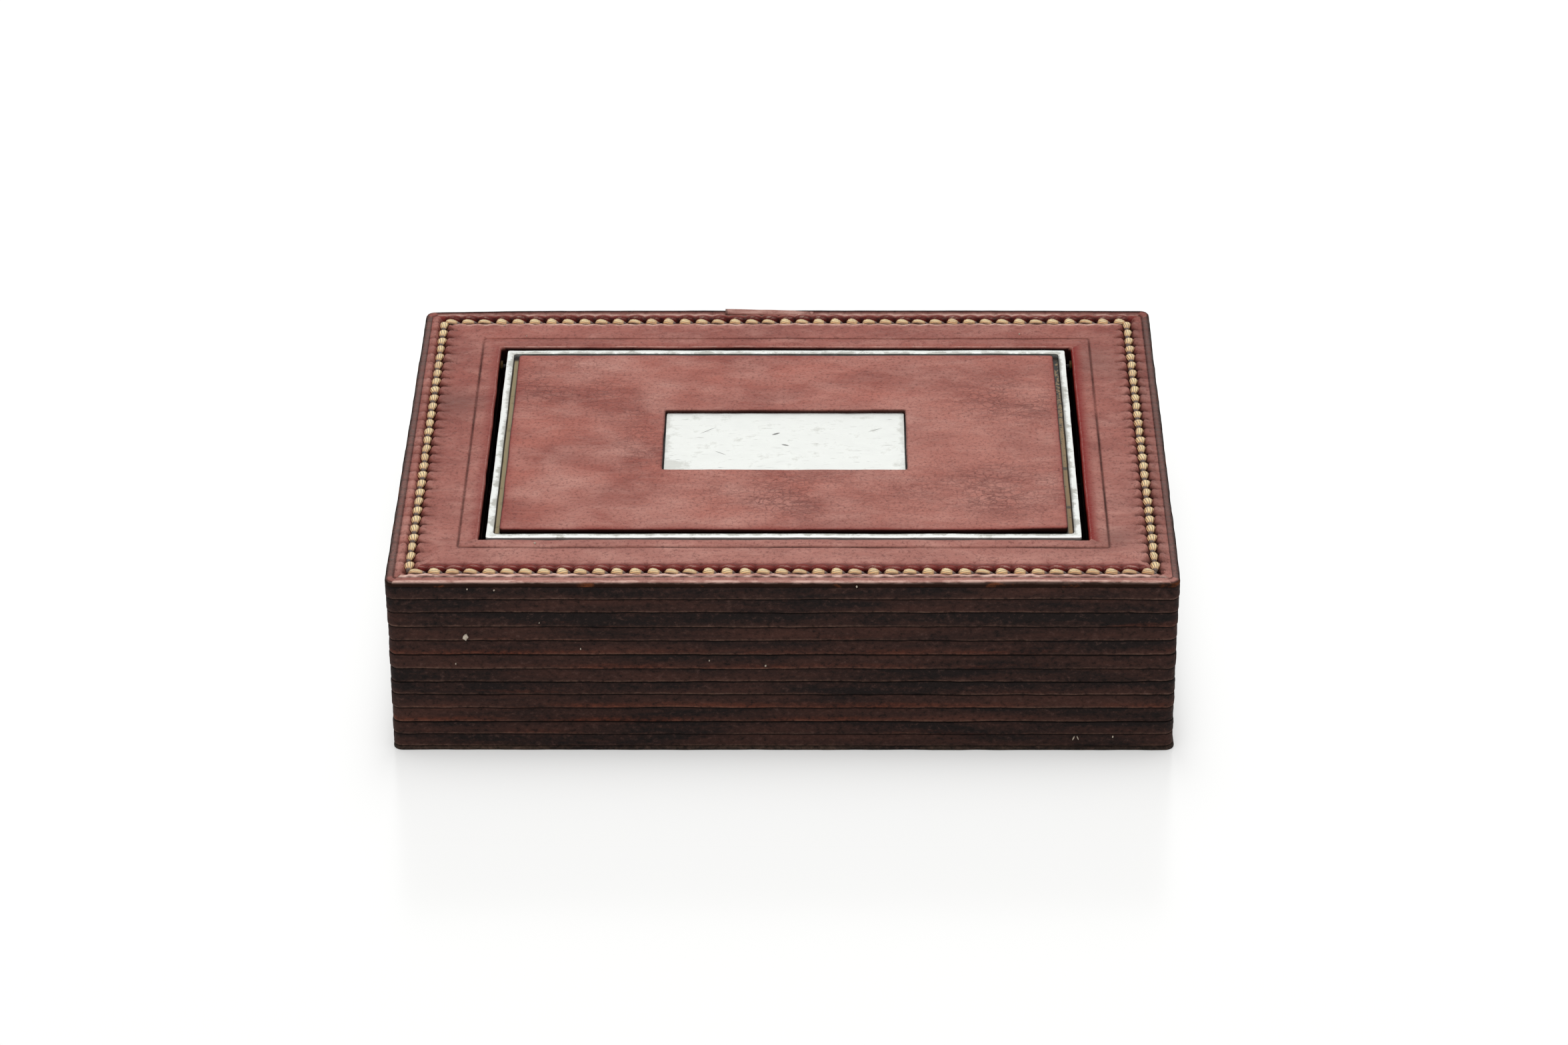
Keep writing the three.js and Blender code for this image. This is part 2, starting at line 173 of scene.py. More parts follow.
class BOX_PG_thread(bpy.types.PropertyGroup):
    """The waxed linen thread."""

    pitch: length("Pitch", "Distance between stitches", 4.6)
    stitch: length("Stitch length", "Length of a stitch from hole to hole", 4.8)
    width: length("Thread width", "Width of a stitch at its middle", 2.5)
    rise: length("Rise", "How far a stitch stands above the leather", 0.6)
    lean: amount("Lean", "Turn of each stitch away from its row", -0.1, subtype="ANGLE")
    jitter: amount("Jitter", "How far stitches differ from each other, as a share", 0.13)
    plies: amount("Plies", "Strands round a stitch", 9)
    twist: amount("Twist", "Turns of a strand along a stitch, in strands", 1.6)
    seed: bpy.props.IntProperty(name="Seed", description="Seed of the stitches' unevenness", default=4)
    flax: colour("Flax", "Colour of the waxed thread", "FFE2A4")
    shade: colour("Shade", "Colour between the strands", "3E1C0B")


class BOX_PG_lid(bpy.types.PropertyGroup):
    """The silver-rimmed lid with its leather inset and plaque."""

    rim: length("Rim width", "Width of the silver rim", 1.85)
    channel: length("Channel", "Gap between the rim and the leather inset", 1.5)
    window_x: length("Window width", "Width of the window in the inset", 64.2)
    window_y: length("Window depth", "Depth of the window in the inset", 32.2)
    corner_lift: length("Corner lift", "How far the inset's front right corner has come up", 0.5)
    dye: colour("Inset dye", "Burgundy of the inset", "B0685A")
    dye_deep: colour("Inset deep dye", "Darker burgundy of the inset", "7F3A30")
    silver: colour("Silver", "Polished silver", "E6E8E4")
    tarnish: colour("Tarnish", "Sulphide film on the silver", "8C897D")
    glue: colour("Glue", "Old hide glue in the channel", "A98A5C")


class BOX_PG_lining(bpy.types.PropertyGroup):
    """The inside of the box."""

    nap: length("Nap", "Size of the suede's nap", 0.8)
    suede: colour("Suede", "Colour of the lining", "5A302C")
    board: colour("Board", "Colour of the boards", "6B4A35")


class BOX_PG_stage(bpy.types.PropertyGroup):
    """Camera, lamps and floor."""

    focal_px: amount("Focal length", "Focal length in pixels of the photograph", 7184.0)
    distance: amount("Distance", "Distance of the camera from its aim", 1.28205, unit="LENGTH")
    aim: amount("Aim", "Height that the camera aims at", 0.02551, unit="LENGTH")
    elevation: amount("Elevation", "Height of the camera above the horizon", 0.52725, subtype="ANGLE")
    azimuth: amount("Azimuth", "Turn of the camera round the box", 0.00886, subtype="ANGLE")
    roll: amount("Roll", "Tilt of the camera", -0.00424, subtype="ANGLE")
    shift_x: amount("Offset right", "Camera's offset to the right", -0.00033, unit="LENGTH")
    shift_y: amount("Offset up", "Camera's offset upwards", -0.00014, unit="LENGTH")
    floor: colour("Floor", "White gloss table", "F8F8F7")
    shadow_reach: length("Shadow reach", "How far from the box the shadow fades by two thirds", 14.0)
    shadow: amount("Shadow", "Share of the shadow that shows next to the box", 0.64)


SETTINGS = {
    "box_cover": BOX_PG_cover,
    "box_stack": BOX_PG_stack,
    "box_thread": BOX_PG_thread,
    "box_lid": BOX_PG_lid,
    "box_lining": BOX_PG_lining,
    "box_stage": BOX_PG_stage,
}


# Shapes that every piece is made from

def ring(half_x, half_y, radius, steps, centre_y=0.0):
    """A rounded rectangle as points that run anticlockwise from the front's left end. The steps are its
    numbers of points on a side along X, on a side along Y and round a corner."""
    side_x, side_y, corner = steps
    flat_x, flat_y = half_x - radius, half_y - radius
    points = []
    starts = ((-flat_x, -half_y), (half_x, -flat_y), (flat_x, half_y), (-half_x, flat_y))
    middles = ((flat_x, -flat_y), (flat_x, flat_y), (-flat_x, flat_y), (-flat_x, -flat_y))
    moves = ((2 * flat_x, 0), (0, 2 * flat_y), (-2 * flat_x, 0), (0, -2 * flat_y))
    for quarter in range(4):
        count = side_x if quarter % 2 == 0 else side_y
        share = np.arange(count)[:, None] / count
        points.append(np.array(starts[quarter]) + share * np.array(moves[quarter]))
        turn = (quarter - 1 + np.arange(corner) / corner) * math.pi / 2
        arc = np.stack([np.cos(turn), np.sin(turn)], axis=1) * radius
        points.append(np.array(middles[quarter]) + arc)
    return np.concatenate(points) + np.array((0.0, centre_y))


def ring_outward(steps):
    """The outward direction at each point of a ring."""
    side_x, side_y, corner = steps
    turns = []
    for quarter, side in enumerate((side_x, side_y, side_x, side_y)):
        turns += [np.full(side, quarter - 1.0), quarter - 1 + np.arange(corner) / corner]
    turn = np.concatenate(turns) * math.pi / 2
    return np.stack([np.cos(turn), np.sin(turn)], axis=1)


def ring_sides(steps):
    """Which side each point of a ring lies on: 0 front, 1 right, 2 back, 3 left, or -1 at a corner."""
    side_x, side_y, corner = steps
    return np.repeat((0, -1, 1, -1, 2, -1, 3, -1), (side_x, corner, side_y, corner) * 2)


def per_side(sides, rest, **named):
    """A number for each point of a ring by its side. Corners and sides not named get the rest."""
    return np.array([named.get(side, rest) for side in (*SIDES, "corner")], float)[sides]


def loft(rings, heights):
    """Rings and their heights as one array of points, one row for each ring."""
    rows = [np.column_stack([points, np.broadcast_to(z, len(points))])
            for points, z in zip(rings, heights)]
    return np.stack(rows)


def inset_rings(corner, profile, steps):
    """Rings inside the corner of a piece, each from its inset, its corner radius and its height."""
    rings = [ring(corner[0] - inset, corner[1] - inset, radius, steps) for inset, radius, z in profile]
    return loft(rings, [z for inset, radius, z in profile])


def loft_faces(rows, columns, closed):
    """Faces between each ring and the next. A shape that isn't closed gets a cap at each end."""
    row = np.arange(rows if closed else rows - 1)[:, None]
    here, after = row * columns, ((row + 1) % rows) * columns
    column = np.arange(columns)[None, :]
    far = (column + 1) % columns
    walls = np.stack([here + column, here + far, after + far, after + column], axis=-1)
    faces = walls.reshape(-1, 4).tolist()
    if not closed:
        faces.append(list(range(columns))[::-1])
        faces.append([(rows - 1) * columns + c for c in range(columns)])
    return faces


def wander(points, size, seed):
    """Smooth uneven heights from about -1 to 1 that change over that size."""
    fineness, step, octaves = 1.0, 2.0, 2
    flat = np.asarray(points, float).reshape(-1, 3) / size + seed * np.array((17.3, 9.1, 5.7))
    heights = [noise.fractal(p, fineness, step, octaves) for p in flat.tolist()]
    return np.array(heights).reshape(np.shape(points)[:-1])


def waves(points, *given):
    """Uneven heights added up from waves, each given as its size, its seed and its height."""
    return sum(wander(points, size, seed) * height for size, seed, height in given)


def bump_at(distance, width):
    """A smooth bell of height 1."""
    return np.exp(-((distance / width) ** 2))


def new_piece(name, points, faces, material, values=None, smooth=True):
    """A mesh object from points in millimetres, with its named values at each point."""
    mesh = bpy.data.meshes.new(name)
    mesh.from_pydata((np.reshape(points, (-1, 3)) * MM).tolist(), [], faces)
    for key, data in (values or {}).items():
        layer = mesh.attributes.new(key, "FLOAT", "POINT")
        layer.data.foreach_set("value", np.asarray(data, np.float32).ravel())
    mesh.polygons.foreach_set("use_smooth", [smooth] * len(mesh.polygons))
    mesh.materials.append(material)
    piece = bpy.data.objects.new(name, mesh)
    bpy.context.scene.collection.objects.link(piece)
    return piece


def lofted(name, points, material, values=None, closed=False):
    """A piece whose skin runs from each row of its points to the next."""
    return new_piece(name, points, loft_faces(*points.shape[:2], closed), material, values)


def spread(points, **shares):
    """Values given row by row, for every point of the rows."""
    return {key: np.broadcast_to(np.reshape(share, (-1, 1)), points.shape[:2]).copy()
            for key, share in shares.items()}


def settle(piece, body, slot, *nodes):
    """Lets a finished piece ride its body and stand for its packed solids."""
    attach(piece, body)
    if nodes:
        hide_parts(*nodes)


# Materials

def per(size_mm):
    """The scale of a texture, in object coordinates, whose features are that many millimetres."""
    return 1 / (size_mm * MM)


def feed(made, values):
    """Links or sets a node's inputs, by name or number."""
    for key, value in values.items():
        if isinstance(value, bpy.types.NodeSocket):
            made.id_data.links.new(value, made.inputs[key])
        else:
            made.inputs[key].default_value = value


def add(tree, kind, *inputs, pick=0, **named):
    """Adds a node and gives back the output that is picked, or the node itself for None. Values for its
    inputs come in order or by identifier, and every other name is a setting. The numbers after a
    MapRange's value are the lowest and highest that come in, then those that go out."""
    made = tree.nodes.new(kind if "Node" in kind else f"ShaderNode{kind}")
    places = {socket.identifier: number for number, socket in enumerate(made.inputs)}
    for key, value in named.items():
        if key not in places:
            setattr(made, key, value)
    feed(made, dict(enumerate(inputs)))
    feed(made, {places[key]: value for key, value in named.items() if key in places})
    return made if pick is None else made.outputs[pick]


def new_material(name, *keys):
    """An empty material, its node tree, the place on the object and the pieces' own values."""
    material = bpy.data.materials.new(name)
    material.use_nodes = True
    tree = material.node_tree
    place = add(tree, "TexCoord", pick="Object")
    return material, tree, place, [add(tree, "Attribute", attribute_name=key, pick="Fac") for key in keys]


def finish(material, tone, layers, looks, *heights):
    """Lays colours over the first tone, each as far as its share says, gives the shader its looks, and
    lays bumps over each other. A bump is a height, its strength and its depth in millimetres, below zero
    where the height goes inwards."""
    tree, above = material.node_tree, {}
    for share, over in layers:
        tone = add(tree, "Mix", share, A_Color=tone, B_Color=over, data_type="RGBA", pick=2)
    for height, strength, depth in heights:
        above["Normal"] = add(tree, "Bump", Height=height, Strength=strength, Distance=abs(depth) * MM,
                              invert=depth < 0, **above)
    feed(tree.nodes["Principled BSDF"], {"Base Color": tone, **looks, **above})
    return material


def burgundy_calf(name, dye, deep, worn, red_shade, raw):
    """Vegetable-tanned calf, aniline dyed and waxed: cloudy dye, dark pores, fine creases that run
    along the hide, painted shade in near black and deep red in the folds, painted glints, and a soft broken
    sheen."""
    material, tree, place, (pale, crackle, banded, red, pocket, cut, arris) = new_material(
        name, "pale", "crackle", "band", "red", "pocket", "cut", "arris")
    along = add(tree, "Mapping", place, Scale=(0.6, 1.2, 1.0))
    clouds = add(tree, "TexNoise", along, Scale=per(17), Detail=6.0, Roughness=0.62)
    cloudy = add(tree, "MapRange", clouds, 0.36, 0.64, 0, 0.75)
    # Handled places where the dye has gone paler and greyer, together with the paler places and painted
    # highlights that each piece gives
    rubs = add(tree, "TexNoise", along, Scale=per(8), Detail=6.0, Roughness=0.68, Distortion=0.4)
    rubbed_and_lit = add(tree, "MapRange", rubs, 0.45, 0.7, 0, 0.45)
    rubbed_and_lit = add(tree, "Math", pale, 0.4, rubbed_and_lit, operation="MULTIPLY_ADD")
    grain = add(tree, "TexNoise", place, Scale=per(0.85), Detail=4.0, Roughness=0.72)
    pores = add(tree, "MapRange", grain, 0.5, 0.7, 0, 0.7)
    # Fine creases along the hide and a net of crackle, both in patches
    patches = add(tree, "TexNoise", place, Scale=per(15), Detail=3.0)
    patches = add(tree, "MapRange", patches, 0.35, 0.55, 0.3)
    patches = add(tree, "Math", patches, crackle, operation="MULTIPLY")
    drawn = add(tree, "Mapping", place, Scale=(0.3, 1.0, 1.0))
    creases = add(tree, "TexNoise", drawn, Scale=per(2.4), Detail=3.0, Roughness=0.55, Distortion=0.6)
    creases = add(tree, "Math", creases, 0.5, operation="SUBTRACT")
    creases = add(tree, "Math", creases, operation="ABSOLUTE")
    creases = add(tree, "MapRange", creases, 0.035, 0.008)
    bent = add(tree, "TexNoise", place, Scale=per(2.0), Detail=2.0, pick="Color")
    bent = add(tree, "VectorMath", bent, (MM, MM, MM), place, operation="MULTIPLY_ADD")
    cells = add(tree, "TexVoronoi", bent, Scale=per(2.3), feature="DISTANCE_TO_EDGE")
    cells = add(tree, "MapRange", cells, 0.08, 0.02, 0, 0.7)
    wrinkles = add(tree, "Math", creases, cells, operation="MAXIMUM")
    wrinkles = add(tree, "Math", wrinkles, patches, operation="MULTIPLY")
    ink = add(tree, "Math", wrinkles, 0.55, operation="MULTIPLY")
    fibres = add(tree, "MapRange", rubs, 0.56, 0.66, 0, 0.6)
    smear = add(tree, "MapRange", grain, 0.38, 0.58, 1.35, 0.65)
    banded = add(tree, "Math", banded, smear, operation="MULTIPLY", use_clamp=True)
    glints = add(tree, "TexNoise", drawn, Scale=per(1.6), Detail=3.0, Roughness=0.7)
    glints = add(tree, "MapRange", glints, 0.44, 0.58, 0.25)
    glints = add(tree, "Math", arris, glints, operation="MULTIPLY")
    fibrous = add(tree, "Mix", fibres, A_Color=raw, B_Color=linear("7A4326"), data_type="RGBA", pick=2)
    # Painted shade: near black where the leather is pocketed and deep red in the folds; painted highlights:
    # the glints
    layers = ((cloudy, deep), (rubbed_and_lit, linear("C69083")), (pores, linear("582823")),
              (ink, linear("5E231D")), (banded, worn), (red, red_shade), (pocket, linear("160706")),
              (cut, fibrous), (glints, linear("E9C3B5")))
    rough = add(tree, "MapRange", grain, 0, 1, 0.38, 0.62)
    # Raw leather is matt, and the sheen is taken away in the folds and wherever else shade is painted
    matt = add(tree, "Math", pocket, cut, operation="MAXIMUM")
    sheen = add(tree, "MapRange", matt, 0, 1, 0.22, 0.03)
    return finish(material, dye, layers, {"Roughness": rough, "Specular IOR Level": sheen},
                  (grain, 0.8, -0.18), (wrinkles, 0.9, -0.18), (rubs, 0.7, 0.9))


def edge_dyed_leather(name, black, brown, russet, seed, warm, bare):
    """Cut edges of thick sole leather, dyed black and burnished: black where the dye holds, brown
    where it has thinned, bare russet fibre along the lower edge, and painted shade along each seam."""
    material, tree, place, (level, arris) = new_material(name, "level", "arris")
    moved = add(tree, "Mapping", place, Location=(seed * 0.31, seed * 0.17, 0))
    flattened = add(tree, "Mapping", moved, Scale=(1.0, 1.0, 8.0))
    drifts = add(tree, "TexNoise", flattened, Scale=per(52), Detail=6.0, Roughness=0.62)
    slant = add(tree, "Mapping", moved, Rotation=(0.5, 0.6, 0), Scale=(0.7, 0.7, 1.0))
    mottle = add(tree, "TexNoise", slant, Scale=per(1.1), Detail=6.0, Roughness=0.75)
    thinned = add(tree, "Math", mottle, 0.35, drifts, operation="MULTIPLY_ADD")
    thinned = add(tree, "Math", level, -0.1, thinned, operation="MULTIPLY_ADD")
    thinned = add(tree, "MapRange", thinned, 0.61 - 0.2 * warm, 0.93 - 0.2 * warm)
    pits = add(tree, "MapRange", mottle, 0.46, 0.34, 0, 0.7)
    hairs = add(tree, "MapRange", mottle, 0.55, 0.68, 0, 0.5)
    low = add(tree, "MapRange", level, 0.5, 0.08)
    wear = add(tree, "TexNoise", flattened, Scale=per(60), Detail=8.0, Roughness=0.6, Distortion=0.3)
    wear = add(tree, "MapRange", wear, 0.68 - 0.26 * bare, 0.88 - 0.26 * bare)
    streaks = add(tree, "Math", low, wear, operation="MULTIPLY")
    fibrous = add(tree, "MapRange", mottle, 0.38, 0.6, 0.1)
    streaks = add(tree, "Math", streaks, fibrous, operation="MULTIPLY")
    # A paler line on the lower arris, only here and there, partly rubbed and partly a painted highlight,
    # over the painted shade of the seam below it
    patchy = add(tree, "MapRange", drifts, 0.38, 0.58, 0, 0.7)
    arris_rub_and_highlight = add(tree, "Math", arris, fibrous, operation="MULTIPLY")
    arris_rub_and_highlight = add(tree, "Math", arris_rub_and_highlight, patchy, operation="MULTIPLY")
    # Painted shade along the seams, at the foot and the head of each layer
    below = add(tree, "MapRange", level, 0.05, 0.015)
    above = add(tree, "MapRange", level, 0.95, 0.985, 0, 0.8)
    seam = add(tree, "Math", below, above, operation="MAXIMUM")
    layers = ((thinned, brown), (pits, linear("100B09")), (hairs, linear("5C4640")), (streaks, russet),
              (arris_rub_and_highlight, linear("7A5F52")), (seam, linear("080605")))
    rough = add(tree, "MapRange", mottle, 0, 1, 0.5, 0.8)
    fine = add(tree, "TexNoise", moved, Scale=per(0.5), Detail=3.0, Roughness=0.7)
    return finish(material, black, layers, {"Roughness": rough, "Specular IOR Level": 0.08},
                  (fine, 0.7, 0.2), (mottle, 0.9, 0.6))


def waxed_linen(name, thread):
    """Twisted linen thread drawn through beeswax: pale strands that fan out from each hole, painted
    shade between them, at the holes and down the sides, painted golden shade on the shoulders, and a dull
    shine."""
    material, tree, place, (around, along) = new_material(name, "around", "along")
    dirt = add(tree, "TexNoise", place, Scale=per(26), Detail=7.0, Roughness=0.85)
    dirt = add(tree, "MapRange", dirt, 0.5, 0.64, 0, 0.75)
    strand = add(tree, "Math", around, thread.plies, operation="MULTIPLY")
    strand = add(tree, "Math", along, thread.twist, strand, operation="MULTIPLY_ADD")
    strand = add(tree, "Math", strand, 2 * math.pi, operation="MULTIPLY")
    wave = add(tree, "Math", strand, operation="SINE")
    away = [add(tree, "Math", add(tree, "Math", value, middle, operation="SUBTRACT"), operation="ABSOLUTE")
            for value, middle in ((along, 0.43), (around, 0.47))]
    # Painted shade: golden brown on the shoulders and towards the ends, palest at the middle of the top,
    # where the light falls
    golden_shade = [add(tree, "MapRange", value, low, high, 0, 0.7)
              for value, low, high in zip(away, (0.14, 0.07), (0.32, 0.17))]
    golden_shade = add(tree, "Math", *golden_shade, operation="MAXIMUM")
    # Painted shade between the strands, near the holes and down the flanks
    hollow = add(tree, "MapRange", wave, -0.5, -0.95, 0, 0.9)
    ends = add(tree, "MapRange", away[0], 0.28, 0.37, 0, 0.97)
    flanks = add(tree, "MapRange", away[1], 0.2, 0.27, 0, 0.9)
    strand_shade = add(tree, "Math", hollow, ends, operation="MAXIMUM")
    strand_shade = add(tree, "Math", strand_shade, flanks, operation="MAXIMUM")
    layers = ((dirt, linear("C88F50")), (golden_shade, linear("DA9650")), (strand_shade, thread.shade))
    hair = add(tree, "TexNoise", place, Scale=per(0.3), Detail=3.0, Roughness=0.6)
    looks = {"Roughness": 0.35, "Specular IOR Level": 0.7, "Coat Weight": 0.6, "Coat Roughness": 0.22}
    return finish(material, thread.flax, layers, looks, (hair, 0.6, 0.1), (wave, 0.8, 0.12))


def worn_silver(name, lid, filmed, floor_z, marks):
    """Rolled silver, hand finished: bright on top, short scratches both ways, grey sulphide film in
    ragged patches, painted shade on the hidden sides, old glue on the floor beside the inset. Its dark
    blots are given by their place, turn, length and width."""
    material, tree, place, (dark, film) = new_material(name, "dark", "film")
    films = add(tree, "TexNoise", place, Scale=per(5), Detail=6.0, Roughness=0.68)
    film = add(tree, "Math", film, 0.2, films, operation="MULTIPLY_ADD")
    film = add(tree, "MapRange", film, 0.56, 0.68, 0, filmed)
    strokes = []
    for turn, size in ((0.5, 0.45), (-0.9, 0.5)):
        drawn = add(tree, "Mapping", place, Rotation=(0, 0, turn), Scale=(0.1, 1.0, 1.0))
        strokes.append(add(tree, "TexNoise", drawn, Scale=per(size), Detail=3.0, Roughness=0.6))
    strokes = add(tree, "Math", *strokes, operation="MAXIMUM")
    scratch = add(tree, "MapRange", strokes, 0.66, 0.75, 0, 0.6)
    # The floor beside the inset: grey film on the left, tan glue with black specks on the right,
    # and painted shade along the front and the back
    spot = add(tree, "SeparateXYZ", place, pick=None).outputs
    on_floor = add(tree, "MapRange", spot["Z"], floor_z + 0.3 * MM, floor_z + 0.12 * MM)
    flakes = add(tree, "TexNoise", place, Scale=per(1.3), Detail=5.0, Roughness=0.75)
    to_back = add(tree, "MapRange", spot["Y"], -10 * MM, 40 * MM, -0.1, 0.06)
    flakes = add(tree, "Math", flakes, to_back, operation="ADD")
    flakes = add(tree, "MapRange", flakes, 0.5, 0.56)
    to_right = add(tree, "MapRange", spot["X"], -20 * MM, 20 * MM)
    end_shade = add(tree, "Math", spot["Y"], operation="ABSOLUTE")
    end_shade = add(tree, "MapRange", end_shade, 46.2 * MM, 47.2 * MM, 0, 0.95)
    glue = add(tree, "Mix", flakes, A_Color=lid.glue, B_Color=linear("15100B"), data_type="RGBA", pick=2)
    floor = linear("B09C6E")
    for share, over in ((film, linear("4F3C25")), (to_right, glue), (end_shade, linear("0E0A07"))):
        floor = add(tree, "Mix", share, A_Color=floor, B_Color=over, data_type="RGBA", pick=2)
    # The dark share is painted shade, on the hidden sides and down into the channel
    layers = [(film, lid.tarnish), (scratch, linear("77746C")), (on_floor, floor), (dark, linear("15100D"))]
    for x, y, turn, long, wide in marks:
        near = add(tree, "Mapping", place, Location=(x * MM, y * MM, 0), Rotation=(0, 0, turn),
                   Scale=(long * MM, wide * MM, 1), vector_type="TEXTURE")
        reach = add(tree, "VectorMath", near, operation="LENGTH", pick="Value")
        layers.append((add(tree, "MapRange", reach, 0.62, 0.35, 0, 0.8), linear("2E2A26")))
    metal = add(tree, "Math", dark, on_floor, operation="MAXIMUM")
    metal = add(tree, "Math", 1.0, metal, operation="SUBTRACT")
    rough = add(tree, "MapRange", films, 0, 1, 0.28, 0.6)
    return finish(material, lid.silver, layers, {"Metallic": metal, "Roughness": rough},
                  (strokes, 0.5, -0.05), (films, 0.5, 0.15))


def napped_suede(name, suede, nap):
    """Split leather with a raised nap: matt, patchy where the nap lies different ways."""
    material, tree, place, _ = new_material(name)
    brushed = add(tree, "TexNoise", place, Scale=per(18), Detail=4.0, Roughness=0.6)
    brushed = add(tree, "MapRange", brushed, 0.4, 0.65, 0, 0.6)
    fuzz = add(tree, "TexNoise", place, Scale=per(nap), Detail=4.0, Roughness=0.75)
    deep = add(tree, "MapRange", fuzz, 0.3, 0.7, 0, 0.5)
    looks = {"Roughness": 0.95, "Sheen Weight": 0.35, "Sheen Roughness": 0.5}
    layers = (brushed, linear("7A4A43")), (deep, linear("33191A"))
    return finish(material, suede, layers, looks, (fuzz, 0.8, 0.3))


def oiled_board(name, board):
    """Thin hardwood board, oiled: straight brown grain with darker pores."""
    material, tree, place, _ = new_material(name)
    along = add(tree, "Mapping", place, Scale=(0.06, 1.0, 1.0))
    rings = add(tree, "TexNoise", along, Scale=per(5), Detail=5.0, Roughness=0.6, Distortion=0.3)
    rings = add(tree, "MapRange", rings, 0.35, 0.68)
    pores = add(tree, "TexNoise", along, Scale=per(0.6), Detail=2.0, Roughness=0.5)
    dark = add(tree, "MapRange", pores, 0.62, 0.72, 0, 0.6)
    layers = (rings, board), (dark, linear("2A1810"))
    return finish(material, linear("4A2E1E"), layers, {"Roughness": 0.5}, (pores, 0.5, 0.1))


def paper_fleck(name):
    """Torn paper and wax: dull, grey-beige, with dirty fibres."""
    material, tree, place, _ = new_material(name)
    fibre = add(tree, "TexNoise", place, Scale=per(0.6), Detail=4.0)
    layers = [(fibre, linear("8E8070"))]
    return finish(material, linear("D9CDBB"), layers, {"Roughness": 0.85}, (fibre, 0.6, 0.1))


def turned_metal(name, bright, dull, roughness):
    """Small turned parts: fine rings from the tool and a little dirt."""
    material, tree, place, _ = new_material(name)
    squeezed = add(tree, "Mapping", place, Scale=(1.0, 0.1, 0.1))
    rings = add(tree, "TexNoise", squeezed, Scale=per(0.2), Detail=2.0)
    dirt = add(tree, "TexNoise", place, Scale=per(1.5), Detail=4.0)
    dirt = add(tree, "MapRange", dirt, 0.5, 0.7, 0, 0.7)
    looks = {"Metallic": 1.0, "Roughness": roughness}
    return finish(material, bright, [(dirt, dull)], looks, (rings, 0.4, 0.02))


# The leather top

def window_corner(cover, more=0.0):
    """Half sizes of the window, or of a ring that lies that much outside it."""
    tray = node_box("lid_tray")[1]
    return tray.x + cover.lid_gap + more, tray.y + cover.lid_gap + more


def seam_rows(cover):
    """Half lengths of the stitched rows along X and along Y."""
    high = node_box("top_cover")[1]
    return high.x - cover.seam_inset, high.y - cover.seam_inset


def stitch_phase(along, row_length, pitch):
    """Place along a stitch, from -0.5 at one hole to 0.5 at the next, and the stitch's number."""
    count = round(row_length / pitch)
    number = (along + row_length / 2) / (row_length / count)
    return number - np.floor(number) - 0.5, np.floor(number)


def cover_rings(cover):
    """Half sizes, corner radius and height of each ring of the top, from its outer edge inwards,
    with how far each lies from the outer edge and from the window."""
    low, high = node_box("top_cover")
    under = node_box("deck_layer_upper")[1].z + GLUE
    top, corner, bevel = high.z, 2.2, 0.35
    seam, crease, roll = cover.seam_inset, cover.crease_offset, cover.roll
    rows = []

    def from_edge(inset, z):
        rows.append((high.x - inset, high.y - inset, max(corner - inset * 0.6, 0.7), z, inset, FAR_OFF))

    def from_window(offset, z):
        rows.append((*window_corner(cover, offset), 0.8, z, FAR_OFF, offset))

    for z in (under, under + 0.35, top - 1.0, top - 2 * bevel):
        from_edge(0.0, z)
    for turn in (0.1 * math.pi, 0.25 * math.pi, 0.4 * math.pi):
        from_edge(bevel * (1 - math.cos(turn)), top - bevel * (2 - math.sin(turn)))
    from_edge(0.34, top - 0.13)
    from_edge(0.41, top - 0.04)
    # Close rows over the band, the fold beside it and the seam, wider ones up to the middle of the border
    for inset in (0.5, 0.8, 1.1, 1.5, 1.85, 2.05, 2.25, 2.5, 2.7, 2.9, 3.2,
                  *np.arange(seam - 2.1, seam + 2.5, 0.23), *np.arange(seam + 2.7, seam + 4.8, 0.4)):
        from_edge(inset, top)
    last, first = np.array((high.x, high.y)) - seam - 4.7, np.array(window_corner(cover, crease + 1.6))
    for share in np.linspace(0, 1, 8)[1:]:
        rows.append((*(last * (1 - share) + first * share), 0.7 + share * 0.1, top, FAR_OFF, FAR_OFF))
    for step in (1.2, 0.9, 0.65, 0.45, 0.3, 0.15, 0, -0.15, -0.3, -0.45, -0.65, -1.0, -1.5, -2.1, -2.7):
        from_window(crease + step, top)
    for turn in np.linspace(0, math.pi / 2, 8):
        from_window(roll * (1 - math.sin(turn)), top - roll * (1 - math.cos(turn)))
    for z in np.linspace(top - roll - 0.5, low.z, 5):
        from_window(0.0, z)
    from_window(cover.lip, low.z)
    from_window(cover.lip, under)
    return np.array(rows), top


def back_edge_rise(cover, x, y, inset):
    """How near the back edge a point lies, and how far the strip there stands above the top."""
    high = node_box("top_cover")[1]
    near_back = np.clip((y - high.y + 3.5) / 1.5, 0, 1)
    crown = 1 - np.where(x < 0, 0.8, 0.25) * (np.abs(x) / high.x) ** 4
    return near_back, cover.back_rise * near_back * crown * np.clip(1.15 - inset / 2.6, 0, 1)


def squared_off(x, y):
    """The box is a little out of square: its left side leans in at the back, its right at the front."""
    back = np.clip(0.5 + y / 146, 0, 1)
    return x * (1 - 0.0042 * np.where(x < 0, back, 1 - back))


def drawn_in(cover, y):
    """How far the window's front edge and its crease lie behind their rings."""
    high, window = node_box("top_cover")[1], window_corner(cover)[1]
    places = (cover.seam_inset + 4.7 - high.y, -window - cover.crease_offset, -window, 0)
    return np.interp(y, places, (0, 2 * cover.window_front, cover.window_front, 0))


